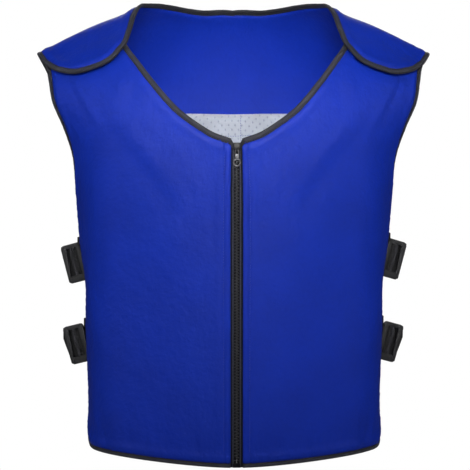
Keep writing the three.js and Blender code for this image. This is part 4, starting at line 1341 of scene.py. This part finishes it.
def ring(bm, path, half_width, half_height, matrix, sides=10, closed=True):
    """A rounded bar swept along a flat path of (x, y) points, in millimetres before the matrix."""
    path = np.array(path, float)
    count = len(path)
    if closed:
        turn = np.roll(path, -1, axis=0) - np.roll(path, 1, axis=0)
    else:
        turn = np.vstack([path[1] - path[0], path[2:] - path[:-2], path[-1] - path[-2]])
    turn /= np.linalg.norm(turn, axis=1, keepdims=True)
    beside = np.stack([turn[:, 1], -turn[:, 0]], axis=-1)
    angles = np.arange(sides) * 2 * math.pi / sides

    def squared(v):
        return np.sign(v) * np.abs(v) ** 0.6

    made, index = grid(count + (1 if closed else 0), sides + 1)
    c, r = index[:, 0] % count, index[:, 1] % sides
    flat = path[c] + beside[c] * (squared(np.cos(angles[r])) * half_width)[:, None]
    up = squared(np.sin(angles[r])) * half_height
    for v, (x, y), z in zip(made.verts, flat, up):
        v.co = (x, y, z)
    bmesh.ops.remove_doubles(made, verts=made.verts[:], dist=1e-4)
    if not closed:
        bmesh.ops.holes_fill(made, edges=[e for e in made.edges if e.is_boundary], sides=0)
    bmesh.ops.recalc_face_normals(made, faces=made.faces[:])
    bmesh.ops.transform(made, matrix=matrix, verts=made.verts[:])
    holder = bpy.data.meshes.new("holder")
    made.to_mesh(holder)
    made.free()
    bm.from_mesh(holder)
    bpy.data.meshes.remove(holder)


def rounded_path(half_x, half_y, radius, per_corner=5):
    points = []
    for sx, sy, start in ((1, 1, 0), (-1, 1, 90), (-1, -1, 180), (1, -1, 270)):
        for k in range(per_corner + 1):
            a = math.radians(start + 90 * k / per_corner)
            x = sx * (half_x - radius) + radius * math.cos(a)
            y = sy * (half_y - radius) + radius * math.sin(a)
            points.append((x, y))
    return points


SLIDER_MIDDLE_RUN = ZIP_TOP_RUN - SLIDER_BELOW_TOP - SLIDER_LENGTH / 2
SLIDER_BASE = TAPE_OUT + CLEARANCE + SLIDER_THICKNESS - SLIDER_SUNK
SLIDER_OUT = SLIDER_BASE - SLIDER_THICKNESS / 2
PIVOT_DROP = SLIDER_LENGTH / 2 - BAIL_ABOVE_BOTTOM
PIVOT_ABOVE = PULL_THICKNESS / 2 + BAIL_PLAY


def make_slider(name, replaces):
    bm = bmesh.new()
    here = zip_frame(SLIDER_MIDDLE_RUN, SLIDER_OUT)
    half = SLIDER_THICKNESS / 2
    for level, thick in ((half - 0.75, 1.5), (-half + 0.6, 1.2)):
        verts = rounded_block(bm, SLIDER_WIDTH, SLIDER_LENGTH, thick, 0.55, Matrix.Translation((0, 0, level)))
        for v in verts:
            # narrower towards the bottom, like a shield, with a soft waist
            share = (v.co.y + SLIDER_LENGTH / 2) / SLIDER_LENGTH
            v.co.x *= 0.74 + 0.26 * smooth_between(share, 0.1, 0.75)
        bmesh.ops.transform(bm, matrix=here, verts=verts)
    rounded_block(bm, 2.6, 4.2, SLIDER_THICKNESS - 1.6, 0.5, here @ Matrix.Translation((0, 3.6, 0)))
    for side in (-1, 1):
        flange = here @ Matrix.Translation((side * 3.9, 1.2, half - 1.9))
        rounded_block(bm, 1.0, SLIDER_LENGTH * 0.62, 1.6, 0.35, flange)
    smooth_arch = np.array([BAIL_ARCH[0], *curve_through(BAIL_ARCH, 4)])
    stand = Matrix(((0, 0, 1, 0), (1, 0, 0, -PIVOT_DROP), (0, 1, 0, half), (0, 0, 0, 1)))
    ring(bm, smooth_arch, BAIL_HALF_THICKNESS, BAIL_HALF_WIDTH, here @ stand, sides=12, closed=False)
    return piece(bm, name, "enamel", replaces=replaces)


def make_pull(name, replaces):
    bm = bmesh.new()
    pivot = Matrix.Translation((0, -PIVOT_DROP, SLIDER_THICKNESS / 2 + PIVOT_ABOVE))
    here = zip_frame(SLIDER_MIDDLE_RUN, SLIDER_OUT) @ pivot
    thick = PULL_THICKNESS / 2
    middle = here @ Matrix.Translation((0, -8.0, 0))
    eye = [(x, y - PULL_EYE_HALF[0]) for x, y in rounded_path(*PULL_EYE_HALF, 1.1)]
    ring(bm, eye, PULL_EYE_BAR, thick * 0.9, here, sides=12)
    hoop_at = -(PULL_LENGTH - PULL_HOOP_RADIUS - PULL_HOOP_BAR)
    turns = np.arange(28) * 2 * math.pi / 28
    hoop = [(PULL_HOOP_RADIUS * math.cos(a), hoop_at + PULL_HOOP_RADIUS * math.sin(a)) for a in turns]
    ring(bm, hoop, PULL_HOOP_BAR, thick, here, sides=12)
    raised = here @ Matrix.Translation((0, -8.0, thick * 0.75))
    rounded_block(bm, PULL_WIDTH * 0.86, 7.2, PULL_THICKNESS * 0.9, 0.5, middle)
    rounded_block(bm, 1.3, 4.6, PULL_THICKNESS * 0.5, 0.2, raised)
    return piece(bm, name, "metal", body="pull", replaces=replaces)


def make_bottom_box(name, replaces):
    bm = bmesh.new()
    here = zip_frame(FRONT_RUN + BOX_LENGTH / 2, TAPE_OUT + CLEARANCE + BOX_THICKNESS / 2)
    low = here @ Matrix.Translation((0, -1.6, 0))
    rounded_block(bm, BOX_WIDTH, BOX_LENGTH * 0.62, BOX_THICKNESS, 0.7, low)
    for across in (-2.2, 2.2):
        prong = here @ Matrix.Translation((across, 2.2, 0))
        rounded_block(bm, 2.5, BOX_LENGTH * 0.5, BOX_THICKNESS * 0.72, 0.5, prong)
    return piece(bm, name, "enamel", replaces=replaces)


def make_insert_pin(name):
    """The metal pin of the zip's loose side, which ends in the bottom box."""
    bm = bmesh.new()
    here = zip_frame(FRONT_RUN + BOX_LENGTH + 1.5, TAPE_OUT + CLEARANCE + BOX_THICKNESS / 2 + 1.6)
    rounded_block(bm, 1.7, 6.0, 2.0, 0.5, here @ Matrix.Translation((4.3, -3.0, 0)))
    rounded_block(bm, 1.5, 4.6, 2.0, 0.4, here @ Matrix.Translation((-4.3, -4.0, 0)))
    return piece(bm, name, "metal")


STRAP_OUT = LINING_OUT - LINING_THICKNESS - CLEARANCE - STRAP_THICKNESS / 2


def lean_back(above):
    """How far the outer end of a strap is drawn back below its upper part, where its loop sags."""
    below = LEAN_STARTS - above
    return LEAN_LEAST + LEAN_BELOW * below * smooth_between(below, -4, 6) - LEAN_ABOVE * np.minimum(below, 0)


def strap_corners(front, back, out, droop, above):
    """Corners of a line along the strap at a height above its middle, and the flat stretch's axes."""

    def at_height(height, low, high):
        return float(run_at_height(np.array([HALF_PATTERN]), height, low, high)[0])

    middle_run = at_height(front, FRONT_RUN, -BODY_LENGTH * 0.35)
    front_run = at_height(front + above, FRONT_RUN, -BODY_LENGTH * 0.35)
    back_run = at_height(back + above, BODY_LENGTH * 0.35, BACK_RUN)

    def on_front(past, run=front_run):
        return drape_one(HALF_PATTERN + past, run, STRAP_OUT)

    def on_back(past):
        return drape_one(HALF_PATTERN + past, back_run, STRAP_OUT, flap_lift)

    leaves_middle = on_front(STRAP_CLEARS_EDGE, middle_run)
    leaves = leaves_middle + (0, 0, above)
    heading = np.array([out, STRAP_BACKWARD, 0.0])
    reach = np.linalg.norm(heading)
    tilt = math.radians(droop)
    along = heading / reach * math.cos(tilt)
    along[2] = -math.sin(tilt)
    sideways = np.array([along[1], -along[0], 0.0])
    sideways /= np.linalg.norm(sideways)
    up = np.cross(sideways, along)
    bend = leaves_middle + along * (reach - lean_back(above)) + up * above
    facet = -HALF_PATTERN / 11
    corners = [
        on_front(-STRAP_ANCHOR),
        on_front(facet),
        on_front(0),
        leaves,
        bend,
        on_back(STRAP_CLEARS_EDGE),
        on_back(0),
        on_back(facet),
        on_back(-STRAP_ANCHOR),
    ]
    middle = leaves_middle + along * (reach / 2 + STRAP_ROUNDING / 2)
    return np.array(corners), Matrix.Translation(Vector(middle)) @ turned_to(along, up, sideways)


def rounded_route(corners, reach):
    points = [corners[0]]
    for before, corner, after in zip(corners[:-2], corners[1:-1], corners[2:]):
        def toward(other):
            return corner + (other - corner) * min(0.45, reach / np.linalg.norm(other - corner))

        points += [toward(before)] + bend_to(toward(before), corner, toward(after), 6)
    points.append(corners[-1])
    points = np.array(points)
    length = length_along(points)
    wanted = np.linspace(0, length[-1], STRAP_POINTS)
    return np.stack([np.interp(wanted, length, points[:, i]) for i in range(3)], axis=-1), length[-1]


def make_strap(name, side, front, back, out, droop, replaces):
    levels = (-0.5, -0.25, 0.0, 0.25, 0.5)
    lines = [strap_corners(front, back, out, droop, s * STRAP_WIDTH)[0] for s in levels]
    made = [rounded_route(corners, STRAP_ROUNDING) for corners in lines]
    routes = np.array([m[0] for m in made])
    total = made[2][1]
    to_buckle = np.array(strap_corners(front, back, out, droop, 0)[1].inverted())
    forward = np.gradient(routes, axis=1)
    upward = routes[-1] - routes[0]
    normals = np.cross(forward, upward[None])
    normals /= np.linalg.norm(normals, axis=2, keepdims=True)
    seen = routes @ to_buckle[:3, :3].T + to_buckle[:3, 3]
    seen[..., 0] += lean_back(seen[..., 1]) / 2
    before_bend = (np.arange(STRAP_POINTS) < STRAP_BEND_POINT)[None]
    hump = np.where(
        before_bend & (np.abs(seen[..., 0]) < HUMP_REACH),
        HUMP_RISE * np.cos(math.pi / 2 * seen[..., 0] / HUMP_REACH) ** 2,
        0,
    )
    middle = routes + normals * hump[..., None]
    # round the webbing's cross-section: up the outer face, over the selvedge, down the inner face
    half = STRAP_THICKNESS / 2
    face = [(s, half) for s in np.linspace(-0.485, 0.485, 13)]
    selvedge = [(0.5, half * 0.5), (0.5, -half * 0.5)]
    other_selvedge = [(-0.5, -half * 0.5), (-0.5, half * 0.5)]
    profile = np.array([*face, *selvedge, *[(s, -half) for s, _ in face[::-1]], *other_selvedge])

    def place(column, row):
        share = profile[row, 0]
        at = (share + 0.5) * (len(levels) - 1)
        low = np.minimum(at.astype(int), len(levels) - 2)
        w = (at - low)[:, None]
        mid = middle[low, column] * (1 - w) + middle[low + 1, column] * w
        nor = normals[low, column] * (1 - w) + normals[low + 1, column] * w
        return mid + nor * profile[row, 1][:, None]

    def patterns(column, row):
        share = profile[row % len(profile), 0]
        level = np.rint((share + 0.5) * (len(levels) - 1)).astype(int)
        along = column / (STRAP_POINTS - 1) * total
        # the hump's height goes into the pattern so that the webbing's material paints a highlight on it
        return np.stack([share * STRAP_WIDTH, along, hump[level, column]], axis=-1)

    bm = band(place, STRAP_POINTS, len(profile), False, patterns)
    if side < 0:
        flip(bm)
    made = piece(bm, name, "webbing", replaces=replaces)
    return made


def make_keeper(name, side, front, back, out, droop):
    """The folded end of the strap's anchor, which peeps out past the panel's edge just above the strap."""
    corners, _ = strap_corners(front, back, out, droop, STRAP_WIDTH / 2 + KEEPER_ABOVE)
    bm = bmesh.new()
    place = Matrix.Scale(MM, 4) @ Matrix.Translation(Vector(corners[2]) + Vector((KEEPER_OUT, 0.0, 0.0)))
    rounded_block(bm, *KEEPER_SIZE, 1.3, place @ Matrix.Rotation(math.radians(90), 4, "X"), segments=4)
    pattern_from_place(bm)
    if side < 0:
        flip(bm)
    return piece(bm, name, "webbing")


def make_buckle(name, side, front, back, out, droop, replaces):
    here = Matrix.Scale(MM, 4) @ strap_corners(front, back, out, droop, 0)[1]
    outer = STRAP_THICKNESS / 2 + 0.85 + BUCKLE_THICKNESS / 2
    inner = BUCKLE_HUMP / 2 - STRAP_THICKNESS / 2 - BUCKLE_THICKNESS / 2
    bm = bmesh.new()
    half_x, half_y = BUCKLE_LENGTH / 2, BUCKLE_HEIGHT / 2
    rail = BUCKLE_RAIL / 2
    frame_path = rounded_path(half_x - rail - 0.45, half_y - rail - 0.45, 1.6)
    around = Matrix.Translation((0, 0, outer - 0.5))
    ring(bm, frame_path, rail + 0.8, BUCKLE_THICKNESS / 2 + 0.55, around, sides=12)
    end_size = (BUCKLE_BAR * 1.7, BUCKLE_HEIGHT - 1.2, BUCKLE_THICKNESS + 0.6)
    for end in (-1, 1):
        bar = Matrix.Translation((end * (half_x - BUCKLE_BAR * 0.85), 0, outer + 0.15))
        verts = rounded_block(bm, *end_size, 1.35, bar, segments=4)
        edge = end * half_x
        for v in verts:
            # broad at the top, and narrow at the bottom where the loop hangs
            v.co.x = edge + (v.co.x - edge) * (0.84 + 0.3 * v.co.y / BUCKLE_HEIGHT)
        middle = Matrix.Translation((0, end * (BUCKLE_HEIGHT - BUCKLE_RAIL) / 2, (outer + inner) / 2))
        rounded_block(bm, BUCKLE_BAR + 1, BUCKLE_RAIL, outer - inner + BUCKLE_THICKNESS, 0.8, middle)
    middle_bar = Matrix.Translation((0, 0, inner))
    rounded_block(bm, BUCKLE_BAR, BUCKLE_HEIGHT - BUCKLE_RAIL, BUCKLE_THICKNESS, 0.9, middle_bar)
    for v in bm.verts:
        # the loop of webbing that carries it pulls its outer end back at the bottom
        v.co.x -= float(lean_back(v.co.y)) * min(1.0, max(0.0, (v.co.x + half_x) / BUCKLE_LENGTH))
        v.co.y -= BUCKLE_FOOT * min(1.0, max(0.0, (-v.co.y - half_y + BUCKLE_RAIL) / BUCKLE_RAIL))
    bmesh.ops.transform(bm, matrix=here, verts=bm.verts[:])
    if side < 0:
        flip(bm)
    return piece(bm, name, "plastic", replaces=replaces)


# The lights: name, place, what each points at, size, power in watts and spread in degrees
LIGHTS = (
    ("front_light", (0, -1.8, 0.5), (0, -0.1, -0.12), (0.9, 0.5), 1.5, 34),
    ("close_light", (0, -0.6, 0.6), (0, -0.1, -0.1), (0.9, 0.3), 0.42, 180),
    ("neck_light", (0, -0.5, -0.035), (0, 0.08, -0.035), (0.16, 0.06), 0.095, 46),
    ("top_light", (0, 0, 1.5), (0, 0.001, 0), (1.5, 1.5), 2.1, 180),
    ("side_light_left", (-1.2, -0.7, 0.1), (-0.1, 0, -0.15), (0.6, 0.8), 3.9, 180),
    ("side_light_right", (1.2, -0.7, 0.1), (0.1, 0, -0.15), (0.6, 0.8), 3.9, 180),
    ("back_light", (0, 1.5, 0.6), (0, 0, -0.15), (1.2, 0.9), 9.0, 180),
)
# Focal length and height over the hem in millimetres, place across in metres, and degrees down and round
CAMERA_LENS = 159.3
CAMERA_HEIGHT = 449.0
CAMERA_ACROSS = -0.076
CAMERA_TILT = 3.44
CAMERA_TURN = -1.625


class VEST_OT_stage(bpy.types.Operator):
    """Sets up the floor, the lights and the camera"""

    bl_idname = "vest.stage"
    bl_label = "Stage"

    def execute(self, context):
        scene = context.scene
        settings = scene.vest_stage
        scene.view_settings.view_transform = "Standard"
        world = bpy.data.worlds.new("soft_white")
        world.use_nodes = True
        nodes, links = world.node_tree.nodes, world.node_tree.links
        background = nodes["Background"]
        background.inputs["Color"].default_value = (1, 1, 1, 1)
        background.inputs["Strength"].default_value = settings.room_light
        seen = nodes.new("ShaderNodeBackground")
        ray = nodes.new("ShaderNodeLightPath")
        either = nodes.new("ShaderNodeMixShader")
        links.new(ray.outputs["Is Camera Ray"], either.inputs[0])
        links.new(background.outputs[0], either.inputs[1])
        links.new(seen.outputs[0], either.inputs[2])
        links.new(either.outputs[0], nodes["World Output"].inputs["Surface"])
        seen.inputs["Color"].default_value = (1, 1, 1, 1)
        scene.world = world

        bm = bmesh.new()
        bmesh.ops.create_circle(bm, cap_ends=True, segments=64, radius=2.2)
        bmesh.ops.translate(bm, vec=(0, 0, settings.floor_height), verts=bm.verts[:])
        mesh = bpy.data.meshes.new("floor")
        bm.to_mesh(mesh)
        bm.free()
        floor = bpy.data.objects.new("floor", mesh)
        scene.collection.objects.link(floor)
        pale = Shader("pale_floor")
        speckle = pale.noise(pale.object_place(), 3.0, 2.0, 0.5)
        tone = pale.mix(speckle, (0.93, 0.93, 0.93, 1), (0.96, 0.96, 0.96, 1))
        mesh.materials.append(pale.finish(tone, 0.9))

        for name, place, target, size, power, spread in LIGHTS:
            light = bpy.data.lights.new(name, "AREA")
            light.spread = math.radians(spread)
            light.shape = "RECTANGLE"
            light.size, light.size_y = size
            light.energy = power
            holder = bpy.data.objects.new(name, light)
            scene.collection.objects.link(holder)
            holder.location = place
            holder.rotation_mode = "QUATERNION"
            holder.rotation_quaternion = (Vector(target) - Vector(place)).to_track_quat("-Z", "Y")

        camera = bpy.data.cameras.new("camera")
        camera.sensor_width = 36.0
        camera.lens = CAMERA_LENS
        camera.clip_end = 100.0
        holder = bpy.data.objects.new("camera", camera)
        scene.collection.objects.link(holder)
        height = (CAMERA_HEIGHT - REST_HEIGHT) * MM
        holder.location = (CAMERA_ACROSS, -settings.camera_distance, height)
        holder.rotation_euler = (math.radians(90 - CAMERA_TILT), 0, math.radians(CAMERA_TURN))
        scene.camera = holder
        return {"FINISHED"}


class VEST_OT_front_panels(bpy.types.Operator):
    """Makes the two padded front panels"""

    bl_idname = "vest.front_panels"
    bl_label = "Front panels"

    def execute(self, context):
        for side, hand in ((1, "right"), (-1, "left")):
            make_front_panel(side, f"front_cloth_{hand}", [f"front_panel_{hand}"])
        return {"FINISHED"}


class VEST_OT_back_panel(bpy.types.Operator):
    """Makes the padded back panel with its two shoulder flaps"""

    bl_idname = "vest.back_panel"
    bl_label = "Back panel"

    def execute(self, context):
        make_back_panel("back_cloth", ["back_panel"])
        return {"FINISHED"}


class VEST_OT_lining(bpy.types.Operator):
    """Makes the knitted mesh lining of the back and its seams"""

    bl_idname = "vest.lining"
    bl_label = "Mesh lining"

    def execute(self, context):
        made, top_line = make_lining("back_mesh_lining", ["back_lining"])
        stitch = context.scene.vest_sizes.stitch_length / MM
        level = LINING_OUT - LINING_THICKNESS
        across = np.linspace(-150, 150, 120)
        seams = []
        run = np.interp(across, top_line[:, 0], top_line[:, 1]) + LINING_SEAM_BELOW
        seams.append((across, run, np.full(len(across), level - 0.5)))
        top_run = np.interp(LINING_SEAM_ACROSS, top_line[:, 0], top_line[:, 1])
        down = np.linspace(top_run + 0.5, BACK_RUN - 12, 160)
        seams.append((np.full(len(down), LINING_SEAM_ACROSS), down, np.full(len(down), level - 0.15)))
        matrices = []
        for a, r, o in seams:
            points = drape(a, r, o + crease_rise(a, r), flap_lift)
            normals = -outward(worn_point, a, r)
            matrices += thread_path(points, normals, stitch, 0.7, 0.9)
        threads = sewn("lining_stitches", matrices, "lining_thread")
        return {"FINISHED"}


class VEST_OT_bindings(bpy.types.Operator):
    """Makes the tapes folded round the edges and their stitches"""

    bl_idname = "vest.bindings"
    bl_label = "Edge bindings"

    def execute(self, context):
        for side, hand in ((1, "right"), (-1, "left")):
            replaced = [f"front_binding_{hand}"]
            tape = make_binding(FRONT_EDGE, f"front_edge_tape_{hand}", replaced, 1.0 + side, side < 0)
            matrices = edge_stitches(FRONT_EDGE)
            if side < 0:
                over = Matrix.Diagonal((-1, 1, 1, 1))
                facing = Matrix.Diagonal((1, -1, 1, 1))
                matrices = [over @ m @ facing for m in matrices]
            threads = sewn(f"front_tape_stitches_{hand}", matrices, "black_thread")
        tape = make_binding(BACK_EDGE, "back_edge_tape", ["back_binding"], 5.0)
        threads = sewn("back_tape_stitches", edge_stitches(BACK_EDGE), "black_thread")
        return {"FINISHED"}


class VEST_OT_zip(bpy.types.Operator):
    """Makes the zip: tapes, teeth, topstitching, bottom box, slider and pull"""

    bl_idname = "vest.zip"
    bl_label = "Zip"

    def execute(self, context):
        stitch = context.scene.vest_sizes.stitch_length / MM
        for side, hand in ((1, "right"), (-1, "left")):
            teeth = make_zip_teeth(side, f"zip_teeth_row_{hand}", [f"zip_teeth_{hand}"])
            end = make_tape_end(side, f"zip_tape_end_{hand}")
            make_zip_tape(side, f"zip_tape_cloth_{hand}", [f"zip_tape_{hand}"])
            run = np.linspace(FRONT_RUN + 9, ZIP_TOP_RUN - 8, 150)
            across = np.full(len(run), ZIP_ACROSS + ZIP_SEAM_BESIDE)
            points = drape(across, run, HALF_PANEL - 0.3)
            normals = outward(worn_point, across, run)
            if side < 0:
                points, normals = mirrored(points), mirrored(normals)
            matrices = thread_path(points, normals, stitch, 0.8, 0.5)
            sewn(f"zip_topstitch_{hand}", matrices, "blue_thread")
        make_slider("zip_slider_body", ["zip_slider"])
        make_pull("zip_pull_tab", ["zip_pull"])
        make_bottom_box("zip_bottom_box", ["zip_box"])
        make_insert_pin("zip_insert_pin")
        return {"FINISHED"}


class VEST_OT_straps(bpy.types.Operator):
    """Makes the four side straps and their slide buckles"""

    bl_idname = "vest.straps"
    bl_label = "Straps and buckles"

    def execute(self, context):
        for name, side, front, back, out, droop in STRAPS:
            buckle = make_buckle(f"slide_buckle_{name}", side, front, back, out, droop, [f"buckle_{name}"])
            keeper = make_keeper(f"strap_anchor_{name}", side, front, back, out, droop)
            make_strap(f"webbing_{name}", side, front, back, out, droop, [f"strap_{name}"])
        return {"FINISHED"}


MAKING_ORDER = (
    VEST_OT_stage,
    VEST_OT_front_panels,
    VEST_OT_back_panel,
    VEST_OT_lining,
    VEST_OT_bindings,
    VEST_OT_zip,
    VEST_OT_straps,
)


class VEST_PT_panel(bpy.types.Panel):
    """Lists the vest's settings and its pieces in the sidebar"""

    bl_idname = "VEST_PT_panel"
    bl_label = "Cooling Vest"
    bl_space_type = "VIEW_3D"
    bl_region_type = "UI"
    bl_category = "Vest"

    def draw(self, context):
        for group in (context.scene.vest_sizes, context.scene.vest_colours, context.scene.vest_stage):
            box = self.layout.box()
            for key in group.bl_rna.properties.keys():
                if key not in ("rna_type", "name"):
                    box.prop(group, key)
        for operator in MAKING_ORDER:
            self.layout.operator(operator.bl_idname)


GROUPS = (("vest_sizes", VestSizes), ("vest_colours", VestColours), ("vest_stage", VestStage))


def register():
    for name, group in GROUPS:
        bpy.utils.register_class(group)
        setattr(bpy.types.Scene, name, bpy.props.PointerProperty(type=group))
    for operator in MAKING_ORDER:
        bpy.utils.register_class(operator)
    bpy.utils.register_class(VEST_PT_panel)


def unregister():
    bpy.utils.unregister_class(VEST_PT_panel)
    for operator in reversed(MAKING_ORDER):
        bpy.utils.unregister_class(operator)
    for name, group in reversed(GROUPS):
        delattr(bpy.types.Scene, name)
        bpy.utils.unregister_class(group)


def main():
    register()
    for operator in MAKING_ORDER:
        group, name = operator.bl_idname.split(".")
        getattr(getattr(bpy.ops, group), name)()


if __name__ == "__main__":
    main()
